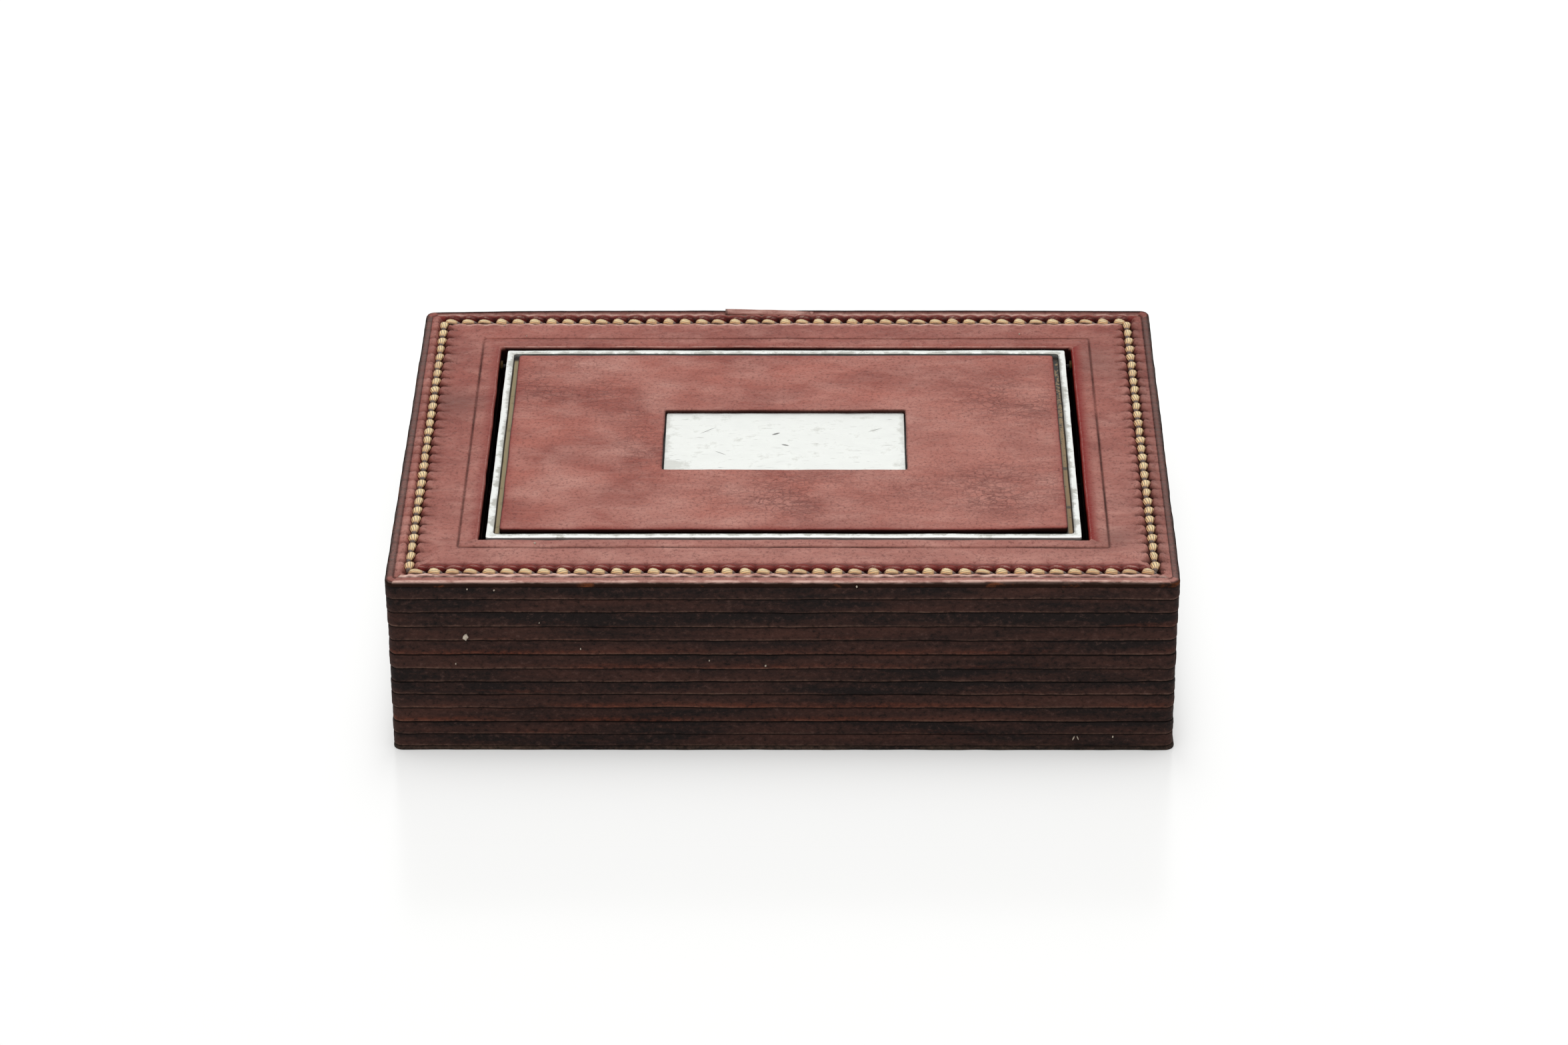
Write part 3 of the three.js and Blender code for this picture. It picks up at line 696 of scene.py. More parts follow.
def cover_plan(cover, steps):
    """Where each point of the top lies: its side, its distances from the edges, and the creases there."""
    rows, top = cover_rings(cover)
    points = loft([ring(*row[:3], steps) for row in rows], rows[:, 3])
    # The last two rings are the leather's hidden inner side
    points[:-2, :, 1] += drawn_in(cover, points[:-2, :, 1])
    at = SimpleNamespace(points=points, sides=ring_sides(steps), top=top, edge=rows[0], window=rows[-1])
    at.x, at.y = points[..., 0].copy(), points[..., 1].copy()
    # How dark the crease's painted shade is from place to place
    at.worn = np.clip(0.75 + 0.5 * wander(points, 16, 6), 0.3, 1)
    at.level, at.inset, at.offset = (np.broadcast_to(rows[:, n:n + 1], at.x.shape) for n in (3, 4, 5))
    at.on_top = at.level >= top - 0.001
    at.front, at.right, at.back, at.left = (at.sides == number for number in range(4))
    at.across, at.lengthwise = at.right | at.left, at.front | at.back
    at.band_at = cover.edge_band + per_side(at.sides, 0.1, front=0.7)
    # The blind crease fades where it runs on past a corner of the window
    away = [np.abs(place) - (half + cover.crease_offset - 5)
            for place, half in ((at.x, at.window[0]), (at.y, at.window[1]))]
    fade = 1 - 0.6 * np.clip(np.maximum(np.minimum(*away), 0) / 5, 0, 1)
    at.crease = fade * bump_at(at.offset - cover.crease_offset, 0.3) * at.on_top
    at.crease_lip = fade * bump_at(at.offset - cover.crease_offset + 0.75, 0.35) * at.on_top
    # A small pleat where the turned-in leather was gathered at each front corner of the window
    pleats = [np.hypot(at.x - side * (at.window[0] + 0.6), at.y + at.window[1] + 0.2 - cover.window_front)
              for side in (-1, 1)]
    at.pleat = np.minimum(*pleats)
    return at


def place_in_seam(cover, thread, at):
    """Where each point of the top lies in the furrow and along the stitch beside it."""
    lengthwise = at.lengthwise
    row_x, row_y = seam_rows(cover)
    (phase_x, number_x), (phase_y, number_y) = (
        stitch_phase(along, 2 * half, thread.pitch) for along, half in ((at.x, row_x), (at.y, row_y)))
    place = np.where(lengthwise, phase_x, phase_y)
    phase = 2 * np.abs(place)
    number = np.where(lengthwise, number_x, number_y) + 100 * np.maximum(at.sides, 0)
    beside = np.where(lengthwise, np.abs(at.x) < row_x, np.abs(at.y) < row_y)
    at.in_row = beside & (at.sides >= 0)
    # How hard each stitch was pulled, and how near its holes a point lies, widely and closely
    at.uneven = 1 + 0.4 * np.sin(number * 12.9898) * np.cos(number * 4.1414)
    at.hole = np.where(at.in_row, phase ** 2.5, 0.4)
    at.tight = np.where(at.in_row, phase ** 5, 0.2)

    # The furrow is wider on the side away from the front, where the thread pulled the leather open.
    # There each stitch of the rows along X has a slanting pocket over its left shoulder.
    seam_at = at.inset - cover.seam_inset - per_side(at.sides, 0.0, **ROW_SHIFT)
    at.from_seam = np.abs(seam_at)
    far = np.where(at.back, seam_at < 0, seam_at > 0)
    at.near_seam = at.on_top & (at.from_seam < 7.5)
    at.open_side, at.low_side = lengthwise & far, lengthwise & ~far
    at.left_outer, at.right_outer, at.far = ~far & at.left, ~far & at.right, far
    slant = (place + 1.05 - 0.2 * at.from_seam) % 1 - 0.5
    pocketed = at.near_seam * at.open_side * at.in_row
    at.wedge = pocketed * bump_at(slant, 0.15) * np.clip((2.0 - at.from_seam) / 0.5, 0, 1)
    reach = cover.furrow_half + np.where(far, np.where(lengthwise, cover.furrow_far, 0.1), 0.1)
    reach = reach + at.hole * np.where(far, np.where(lengthwise, 0.3, 0.9), 0.08) * at.uneven
    reach = reach - at.low_side * at.in_row * 0.85 * phase ** 1.7
    reach = reach + 0.3 * at.open_side * at.in_row * bump_at(slant, 0.2)
    # How far a point lies beyond the furrow's shoulder, and beyond the fold along it
    at.past = at.from_seam - reach
    at.front_fold = at.open_side & at.front
    at.past_fold = at.past - np.where(at.front_fold, 1.25, 0.3)
    at.furrowed = np.exp(-((at.from_seam / reach) ** 4))
    at.held = np.where(at.low_side, 0.25, np.where(at.open_side, 0.4, 1))


def cover_height(cover, at):
    """How far the leather stands above the plain top: furrow, puckers, bevel, creases and pleats."""
    # The leather swells beside the middle of a stitch and is pinched beside its holes
    swell = cover.pucker * at.uneven * (1 - at.hole) * bump_at(at.past - 0.7, 0.85)
    swell *= np.where(at.low_side, 0.15, 1)
    pinch = 0.55 * at.tight * at.uneven * at.held
    pinch *= np.exp(-np.maximum(at.past, 0) / np.where(at.across, 2.3, 1.4))
    trough = (cover.furrow_depth + 0.5 * at.hole) * at.furrowed * np.where(at.low_side, 0.8, 1)
    height = np.where(at.near_seam, swell - trough - pinch - 0.5 * at.wedge, 0.0)
    height -= 0.16 * (at.near_seam & at.front_fold & at.in_row) * bump_at(at.past_fold, 0.7)
    bevel = np.clip(1 - at.inset / at.band_at, 0, 1)
    at_back, rise = back_edge_rise(cover, at.x, at.y, at.inset)
    upper = at.level > at.top - 0.5
    height += upper * (rise - per_side(at.sides, 0.3, front=0.12) * bevel ** 1.4 * (1 - at_back))
    # The front edge stands up a little towards its right end
    height += upper * at.front * (0.1 + 0.4 * bump_at(at.x - 66, 22)) * bevel
    # The fold beside the edge band, the blind crease with its lip, and the swell beside the window
    height -= 0.22 * at.on_top * bump_at(at.inset - at.band_at, 0.2)
    height += 0.12 * at.crease_lip - cover.crease_depth * at.crease
    height += 0.2 * at.on_top * bump_at(at.offset - 1.7, 1.1)
    height -= 0.5 * at.on_top * bump_at(at.pleat, 0.7)
    swing = waves(at.points, (24, 1, 0.16), (6, 2, 0.06))
    return height + swing * np.clip(at.inset / 3, 0.15, 1) * (at.level > at.top - 2)


def cover_pocket(at):
    """Where the leather lies in its own shade: furrow, folds, creases and the window's wall."""
    past = np.maximum(at.past, 0)
    # In the furrow, and round the holes
    pocket = (np.where(at.open_side, 0.8, 0.55) + 0.4 * at.hole) * at.furrowed
    pocket = pocket * np.where(at.low_side | at.left_outer, 0.35, 1) + at.wedge
    pocket += 0.75 * at.tight * at.held * np.exp(-past / 1.2) * np.where(at.left_outer, 0.5, 1)
    pocket += 0.3 * at.tight * at.held * np.exp(-past / np.where(at.across, 3.0, 2.2))
    beside = per_side(at.sides, 0.17, right=0.04) * at.far + 0.38 * at.right_outer
    pocket += at.across * at.in_row * beside * np.exp(-past / 2.5)
    folded = bump_at(at.past_fold, np.where(at.front_fold, 0.6, 0.4))
    pocket += at.open_side * at.in_row * 0.5 * (1 - 0.8 * at.wedge) * folded
    # In the creases, under the outer edge and down the window's wall
    pocket = np.where(at.near_seam, pocket, 0) + 0.9 * at.crease * at.worn
    band_fold = bump_at(at.inset - at.band_at, per_side(at.sides, 0.28, front=0.38))
    pocket += per_side(at.sides, 0.75, front=1.0, back=0.3) * at.on_top * band_fold
    rim = bump_at(at.inset, per_side(at.sides, 0.55, back=1.22))
    pocket += per_side(at.sides, 1.4, front=0) * rim * (at.level > at.top - 1)
    pocket += 0.9 * at.on_top * bump_at(at.pleat, 0.6)
    down = at.top - per_side(at.sides, 0.12, right=0.9, left=0.6) - at.level
    return pocket + (at.offset < 1) * np.clip(down / per_side(at.sides, 0.9, back=0.45), 0, 0.97)


def cover_arris(at):
    """Where a narrow ridge catches the light: the outer edge, the window's edge and the furrow's lips."""
    outer = np.where(at.front, bump_at(at.inset - 0.55, 0.3), 0.2 * bump_at(at.inset - 0.33, 0.05))
    arris = outer * (at.level > at.top - 0.6)
    arris += bump_at(at.offset - 0.45, 0.1) * per_side(at.sides, 0.2, back=0.6) * (at.level > at.top - 0.7)
    lip = bump_at(at.past - per_side(at.sides, 0.5, front=0.75), per_side(at.sides, 0.45, front=0.68))
    arris += at.near_seam * at.low_side * (1.3 - 0.4 * at.hole) * lip
    arris += 0.7 * at.on_top * at.back * bump_at(at.inset - 2.15, 0.4)
    far_lip = bump_at(at.past - 0.25, 0.13)
    return arris + at.near_seam * at.open_side * 0.5 * (1 - at.hole) * (1 - at.wedge) * far_lip


def cover_surface(cover, thread, steps):
    """The top's points, and the values that colour them: painted shade, the band, the cut edge, paler
    places and painted highlights.
    """
    at = cover_plan(cover, steps)
    place_in_seam(cover, thread, at)
    points = at.points
    points[..., 2] += cover_height(cover, at)
    points[..., 0] = np.where(at.inset < 2.2, squared_off(at.x, at.y), at.x)
    ripple = waves(points, (9, 3, 0.12), (2.5, 4, 0.04))
    edge_sway = ripple * ((at.inset < 0.5) - 1.2 * (at.offset < 1.0))
    points[..., :2] += ring_outward(steps) * edge_sway[..., None]
    x, y = points[..., 0], points[..., 1]

    # Painted shade in deep red: in the fold beside the stitched rows, most on the far side, and down the
    # window's walls, most on the right
    red = at.near_seam * np.where(at.open_side, 1.0, 0.2)
    red = red * bump_at(np.maximum(at.past, 0), np.where(at.front_fold, 1.8, 1.0))
    red += per_side(at.sides, 0.15, right=1.0, left=0.5) * np.clip((3.1 - at.offset) / 2.2, 0, 1)
    strip = per_side(at.sides, 0.12, right=0.85, left=0.85, back=0.2)
    band = np.where(at.inset < at.band_at - 0.1, strip, 0.0)
    for spot_x, spot_y, size in COVER_STAINS:
        band += 0.4 * bump_at(np.hypot(x - spot_x, y - spot_y), size) * at.on_top
    # Paler towards the front and darker towards both ends, with painted highlights on the swells beside the
    # stitches and on the furrow's near lips
    to_end = x / at.edge[0]
    pale = 0.62 - 0.45 * y / at.edge[1]
    pale -= 0.6 * np.clip((-to_end - 0.72) / 0.2, 0, 1) + 0.3 * np.clip((to_end - 0.72) / 0.2, 0, 1)
    pale = np.clip(pale, 0, 1)
    pale += at.near_seam * 0.5 * (1 - at.hole) * at.uneven * bump_at(at.past - 0.9, 0.8)
    pale += at.near_seam * (0.9 * at.low_side + 0.4 * at.left_outer) * bump_at(at.past - 0.6, 0.9)
    values = {"pocket": cover_pocket(at), "band": band, "arris": cover_arris(at), "pale": pale,
              "cut": np.where(at.inset < 0.3, (at.top - 0.2 - at.level) / 0.1, 0), "red": red,
              "crackle": 0.1 + 0.25 * np.clip(wander(points, 20, 8), 0, 1)}
    return points, {key: np.clip(value, 0, 1) for key, value in values.items()}


class BOX_OT_top_cover(bpy.types.Operator):
    """Make the stitched leather top with its furrow, puckers, creases and turned-in edge"""

    bl_idname = "keepsake.top_cover"
    bl_label = "Leather top"

    def execute(self, context):
        cover, thread = context.scene.box_cover, context.scene.box_thread
        points, values = cover_surface(cover, thread, (340, 236, 7))
        material = burgundy_calf("burgundy_calf_waxed", cover.dye, cover.dye_deep, cover.dye_worn,
                                 cover.red_shade, cover.raw_edge)
        piece = lofted("stitched_leather_top", points, material, values, closed=True)
        settle(piece, "case", "cover_leather", "top_cover")
        return {"FINISHED"}


class BOX_OT_edge_strip(bpy.types.Operator):
    """Make the thin strip along the back edge whose cut end has lifted"""

    bl_idname = "keepsake.edge_strip"
    bl_label = "Lifted edge strip"

    def execute(self, context):
        cover, high = context.scene.box_cover, node_box("top_cover")[1]
        start, end, thickness = -17.0, 8.0, 0.35
        share = np.linspace(0, 1, 60)
        lift = 0.35 * np.clip(1 - share / 0.7, 0, 1) ** 1.3 - 0.25 * np.clip((share - 0.5) / 0.5, 0, 1)
        x = start + share * (end - start)
        # Its section, from the outer edge inwards: inset, and height in thicknesses
        section = ((0, 0), (0.25, 0.6), (0.9, 1.0), (1.7, 1.0), (2.0, 0.6), (2.1, 0), (1.0, -0.4))
        rows = []
        for turn, (inset, rise) in enumerate(section):
            wave = wander(np.column_stack([x, np.full_like(x, turn), np.zeros_like(x)]), 5, 7) * 0.08
            y = high.y - 0.1 - inset + wave
            z = high.z + back_edge_rise(cover, x, y, inset)[1] + lift + thickness * (rise - 0.35)
            rows.append(np.column_stack([x, y, z]))
        points = np.stack(rows, axis=1)
        # Painted shade at the cut end; the top is pale with painted highlights along it
        values = spread(points, pocket=np.where(share < 0.02, 0.7, 0), band=0.3 + 0 * x, pale=1 + 0 * x,
                        arris=0 * x)
        values["arris"][:, 1:4] = 0.3
        piece = lofted("edge_strip_end", points, bpy.data.materials["burgundy_calf_waxed"], values)
        settle(piece, "case", "cover_leather")
        return {"FINISHED"}


class BOX_OT_flecks(bpy.types.Operator):
    """Stick the few flecks of paper and wax to the front and the top"""

    bl_idname = "keepsake.flecks"
    bl_label = "Flecks"

    def execute(self, context):
        high = node_box("top_cover")[1]
        points, faces, around = [], [], 9
        part = np.arange(around) / around * 2 * np.pi
        for number, (side, across, up, size, stretch, turn) in enumerate(FLECKS):
            ragged = 0.8 + 0.35 * np.sin(part * 2 + number) * np.cos(part * 3 + number * 2)
            a, b = np.cos(part) * ragged * size / 2, np.sin(part) * ragged * size / 2 / stretch
            u, v = a * math.cos(turn) - b * math.sin(turn), a * math.sin(turn) + b * math.cos(turn)
            start, front = len(points), side == "front"
            for out, grow_by in ((-0.3, 1.0), (0.22, 1.0), (0.3, 0.8)):
                for right, rise in zip(across + u * grow_by, up + v * grow_by):
                    points.append((right, -high.y - out, rise) if front else (right, rise, high.z + out))
            faces += [[start + index for index in (face[::-1] if front else face)]
                      for face in loft_faces(3, around, False)]
        piece = new_piece("stuck_flecks", points, faces, paper_fleck("paper_and_wax_flecks"))
        settle(piece, "case", "cover_leather")
        return {"FINISHED"}


# The stitching

def stitch_shape(thread):
    """One stitch: a bundle of strands that swells from one hole and dips into the other, a little
    fuller at one end."""
    stations, around, depth, thin = 7, 10, 0.75, 0.15
    share, part = np.linspace(0, 1, stations)[:, None], np.arange(around) / around
    turn = (part - 0.25) * 2 * np.pi
    swell = np.sin(np.pi * np.clip(share ** 0.7, 0.02, 0.98))
    half_width = thin + (thread.width / 2 - thin) * swell ** 0.85
    half_height = 0.3 + 0.34 * swell ** 0.75
    top = -depth + (depth + thread.rise) * swell ** 0.65
    place = ((share - 0.5) * thread.stitch, half_width * np.cos(turn),
             top - half_height + half_height * np.sin(turn))
    points = np.stack(np.broadcast_arrays(*place), axis=-1)
    return points, {"around": np.broadcast_to(part, points.shape[:2]), **spread(points, along=share)}


def stitch_row_tree():
    """Geometry nodes that set one stitch after another along a row, each a little different."""
    tree = bpy.data.node_groups.new("stitch_row", "GeometryNodeTree")
    tree.is_modifier = True
    wanted = {"Geometry": "Geometry", "Stitch": "Object", "Row Length": "Float", "Pitch": "Float",
              "Place": "Vector", "Turn": "Float", "Lean": "Float", "Jitter": "Float", "Seed": "Int",
              "Thread": "Material"}
    for name, kind in wanted.items():
        tree.interface.new_socket(name, in_out="INPUT", socket_type=f"NodeSocket{kind}")
    tree.interface.new_socket("Geometry", in_out="OUTPUT", socket_type="NodeSocketGeometry")
    given = add(tree, "NodeGroupInput", pick=None).outputs
    # As many stitches as fit the row at about the pitch, evenly spaced from its middle
    count = add(tree, "Math", given["Row Length"], given["Pitch"], operation="DIVIDE")
    count = add(tree, "Math", count, operation="ROUND")
    step = add(tree, "Math", given["Row Length"], count, operation="DIVIDE")
    first = add(tree, "Math", step, given["Row Length"], operation="SUBTRACT")
    first = add(tree, "Math", first, 0.5, operation="MULTIPLY")
    line = add(tree, "GeometryNodeMeshLine", Count=count, Offset=add(tree, "CombineXYZ", X=step),
               **{"Start Location": add(tree, "CombineXYZ", X=first)})
    # The jitter turns each stitch both ways, and makes it wider as it gets shorter
    swing = add(tree, "Math", given["Jitter"], -1.0, operation="MULTIPLY")
    tip = add(tree, "Math", given["Seed"], 11.0, operation="ADD")
    big = add(tree, "Math", given["Jitter"], 1.0, operation="ADD")
    small = add(tree, "Math", 1.0, given["Jitter"], operation="SUBTRACT")
    lean, roll, girth = (
        add(tree, "FunctionNodeRandomValue", Min_001=low, Max_001=high, Seed=seed, pick=1)
        for low, high, seed in ((swing, given["Jitter"], given["Seed"]), (swing, given["Jitter"], tip),
                                (small, big, tip)))
    turned = add(tree, "CombineXYZ", X=roll, Z=add(tree, "Math", lean, given["Lean"], operation="ADD"))
    longer = add(tree, "Math", big, girth, operation="SUBTRACT")
    longer = add(tree, "Math", longer, small, operation="ADD")
    scaled = add(tree, "CombineXYZ", X=longer, Y=girth, Z=girth)
    stitch = add(tree, "GeometryNodeObjectInfo", Object=given["Stitch"], pick="Geometry")
    copies = add(tree, "GeometryNodeInstanceOnPoints", Points=line, Instance=stitch, Rotation=turned,
                 Scale=scaled)
    angle = add(tree, "CombineXYZ", Z=given["Turn"])
    placed = add(tree, "GeometryNodeTransform", Geometry=copies, Translation=given["Place"], Rotation=angle)
    real = add(tree, "GeometryNodeRealizeInstances", Geometry=placed)
    painted = add(tree, "GeometryNodeSetMaterial", Geometry=real, Material=given["Thread"])
    add(tree, "NodeGroupOutput", painted, pick=None)
    return tree


def grow(tree, name, given):
    """Runs a geometry nodes tree on an empty mesh and keeps its result as a plain mesh."""
    piece = bpy.data.objects.new(name, bpy.data.meshes.new(name))
    bpy.context.scene.collection.objects.link(piece)
    modifier = piece.modifiers.new("rule", "NODES")
    modifier.node_group = tree
    for item in tree.interface.items_tree:
        if item.in_out == "INPUT" and item.name in given:
            modifier[item.identifier] = given[item.name]
    graph = bpy.context.evaluated_depsgraph_get()
    made = bpy.data.meshes.new_from_object(piece.evaluated_get(graph))
    piece.modifiers.clear()
    piece.data = made
    return piece


class BOX_OT_stitching(bpy.types.Operator):
    """Sew the four rows of saddle stitches"""

    bl_idname = "keepsake.stitching"
    bl_label = "Stitching"

    def execute(self, context):
        cover, thread = context.scene.box_cover, context.scene.box_thread
        row_x, row_y = seam_rows(cover)
        top = node_box("top_cover")[1].z
        material = waxed_linen("waxed_linen_thread", thread)
        points, values = stitch_shape(thread)
        stitch = lofted("one_stitch", points, material, values)
        tree = stitch_row_tree()
        rows = {
            "front": (row_x, (0, ROW_SHIFT["front"] - row_y, top), 0.0),
            "back": (row_x, (0, row_y, top), 0.0),
            "left": (row_y, (ROW_SHIFT["left"] - row_x, 0, top), -math.pi / 2),
            "right": (row_y, (row_x - ROW_SHIFT["right"], 0, top), -math.pi / 2),
        }
        for number, (side, (half, place, turn)) in enumerate(rows.items()):
            piece = grow(tree, f"linen_stitches_{side}", {
                "Stitch": stitch, "Row Length": 2 * half * MM, "Pitch": thread.pitch * MM,
                "Place": [value * MM for value in place], "Turn": turn, "Lean": thread.lean,
                "Jitter": thread.jitter, "Seed": thread.seed + number, "Thread": material})
            if len(piece.data.vertices) == 0:
                raise RuntimeError(f"the {side} row has no stitches")
            settle(piece, "case", "linen_thread", f"stitching_{side}")
        bpy.data.objects.remove(stitch)
        return {"FINISHED"}


# The stacked sides

def layer_surface(low, high, hole, number, stack, steps):
    """One layer as a frame: a worn outer edge, wavy seams above and below, and a plain hole."""
    levels = np.array([0, 0, 0.03, 0.09, 0.2, 0.36, 0.52, 0.68, 0.82, 0.92, 0.975, 1, 1])
    inward = np.array([2.5, 0.9, 0.45, 0.16, 0.03, 0, 0, 0, 0.02, 0.12, 0.42, 0.9, 2.5]) * stack.wear
    base, outward = ring(high.x, high.y, OUTER_RADIUS, steps), ring_outward(steps)
    flat = np.column_stack([base, np.zeros(len(base))])
    # The seam below the lowest layer and the one above the highest are straight
    below, above = (waves(flat, (21, seam, stack.waviness), (5, seam + 40, stack.waviness / 2))
                    * (0 < seam < WALL_LAYERS + 2) for seam in (number, number + 1))
    # Each layer stands out or in a little, and its lower arris is rubbed
    stand = 0.08 * math.sin(number * 2.3)
    rows = []
    for share, back in zip(levels, inward):
        z = low.z + share * (high.z - low.z) + below * (1 - share) + above * share
        row = np.column_stack([base, z])
        rough = wander(row * (1, 1, 2.0), 3.2, number + 80) * 0.09 + wander(row, 0.9, number + 90) * 0.035
        row[:, :2] += outward * (stand - back + rough * (1 if 0.01 < share < 0.99 else 0.4))[:, None]
        row[:, 0] = squared_off(row[:, 0], row[:, 1])
        rows.append(row)
    hole_x, hole_y, hole_centre = hole
    inner = ring(hole_x, hole_y, 1.0, steps, hole_centre)
    points = np.concatenate([rows, loft([inner, inner], (high.z, low.z))])
    arris = [*bump_at(levels - 0.05, 0.07), 0, 0]
    return points, spread(points, level=[*levels, 1, 0], arris=arris)


class BOX_OT_stack(bpy.types.Operator):
    """Stack the base sheet, the ten wall layers and the two deck layers"""

    bl_idname = "keepsake.stack"
    bl_label = "Stacked leather sides"

    def execute(self, context):
        stack, cover = context.scene.box_stack, context.scene.box_cover
        steps = (230, 166, 8)
        names = [f"wall_layer_{number + 1:02d}" for number in range(WALL_LAYERS)]
        names += ["deck_layer_lower", "deck_layer_upper"]
        edge = node_box("top_cover")[1]
        open_x, open_y = window_corner(cover)
        # Half sizes of each layer's hole, and how far back its middle lies
        holes = [(edge.x - stack.wall, edge.y - stack.wall, 0)] * WALL_LAYERS
        holes.append((open_x, open_y - stack.ledge / 2, stack.ledge / 2))
        holes.append((*window_corner(cover, cover.lip), 0))
        # From the bottom up: how brown each layer is, and how much bare fibre its lower edge shows
        warm = (0.55, 0.4, 0.7, 0.7, 0.3, 0.25, 0.5, 0.6, 0.55, 0.3, 0.5, 0.35)
        bare = (0.3, 0.65, 0.75, 1.0, 0.4, 0.2, 0.5, 0.9, 0.7, 0.5, 0.4, 0.3)
        for number, name in enumerate(names):
            points, values = layer_surface(*node_box(name), holes[number], number, stack, steps)
            material = edge_dyed_leather(f"edge_dyed_sole_leather_{number + 1:02d}", stack.black,
                                         stack.brown, stack.russet, number + 1, warm[number], bare[number])
            piece = lofted(f"leather_{name}", points, material, values, closed=True)
            settle(piece, "case", "stack_leather", name)
        self.base_sheet(stack, steps)
        return {"FINISHED"}

    def base_sheet(self, stack, steps):
        """The thin sheet that closes the box underneath."""
        low, high = node_box("base_sheet")
        profile = ((0.25, low.z), (0.05, low.z + 0.08), (0.0, low.z + 0.45), (0.1, high.z - 0.12),
                   (0.5, high.z))
        points = inset_rings(high, [(inset, OUTER_RADIUS, z) for inset, z in profile], steps)
        points[..., :2] += ring_outward(steps) * (wander(points, 6, 55) * 0.12)[..., None]
        material = edge_dyed_leather("edge_dyed_base_sheet", linear("1C1614"), linear("43352B"),
                                     stack.russet, seed=31, warm=0.3, bare=0.0)
        values = spread(points, level=[0.6] * len(points), arris=[0.35] * len(points))
        piece = lofted("leather_base_sheet", points, material, values)
        settle(piece, "case", "stack_leather", "base_sheet")


# The lid

class BOX_OT_lid_tray(bpy.types.Operator):
    """Make the silver tray with its flat rim"""

    bl_idname = "keepsake.lid_tray"
    bl_label = "Silver tray"

    def execute(self, context):
        lid = context.scene.box_lid
        low, high = node_box("lid_tray")
        floor_top = node_box("lid_leather")[0].z - GLUE
        floor_under = node_box("lid_backing_board")[1].z + GLUE
        rim, top, soft, steps = lid.rim, high.z, 0.16, (200, 140, 8)
        # From the hollow underneath, up the outside, over the rim and down to the floor beside the inset:
        # inset, corner radius, height, how much shade is painted, and how much film
        profile = np.array([
            (rim, 1.0, floor_under, 0.6, 0), (rim, 1.0, low.z, 1, 0), (soft, 0.5, low.z, 1, 0),
            (0, 0.6, low.z + soft, 1, 0), (0, 0.6, top - 1.0, 1, 0), (0, 0.6, top - soft, 0.25, 0),
            (soft * 0.3, 0.6, top - soft * 0.3, 0, 0), (soft, 0.6, top, 0, 0), (soft * 3, 0.7, top, 0, 0.1),
            (rim - soft * 4, 0.9, top, 0, 0.6), (rim - soft, 1.0, top, 0, 0.9),
            (rim - soft * 0.3, 1.0, top - soft * 0.3, 0.15, 0.9), (rim, 1.0, top - soft, 0.6, 1),
            (rim, 1.0, floor_top + 0.2, 0.9, 0), (rim + 0.15, 1.0, floor_top, 0.9, 0),
            (rim + 0.3, 1.0, floor_top, 0.1, 0), (rim + lid.channel - 0.35, 1.0, floor_top, 0.25, 0),
            (rim + lid.channel - 0.1, 1.0, floor_top, 0.95, 0), (rim + 2.4, 1.0, floor_top, 1, 0),
        ])
        points = inset_rings(high, profile[:, :3], steps)
        points[..., :2] += ring_outward(steps) * waves(points, (14, 60, 0.09), (3, 61, 0.03))[..., None]
        upper = (profile[:, 2] > top - 0.5)[:, None]
        points[..., 2] += upper * waves(points, (18, 62, 0.1), (3.5, 63, 0.03))
        values = spread(points, dark=profile[:, 3], film=profile[:, 4])
        # Film and painted shade along the rim's inner edge, most of all on the right
        inner = slice(10, 13)
        for number, shares in ((1, (0.45, 0.75, 0.95)), (3, (0.1, 0.3, 0.75))):
            values["dark"][inner, ring_sides(steps) == number] = np.reshape(shares, (-1, 1))
        # Two dark blots on the right arm of the rim
        marks = ((high.x - rim - 0.7, -12.9, 0.2, 1.8, 1.7), (high.x - rim - 0.7, -33.2, 0.8, 1.6, 1.5))
        material = worn_silver("worn_silver", lid, filmed=0.62, floor_z=floor_top * MM, marks=marks)
        piece = lofted("silver_lid_tray", points, material, values)
        settle(piece, "lid", "silver", "lid_tray")
        return {"FINISHED"}


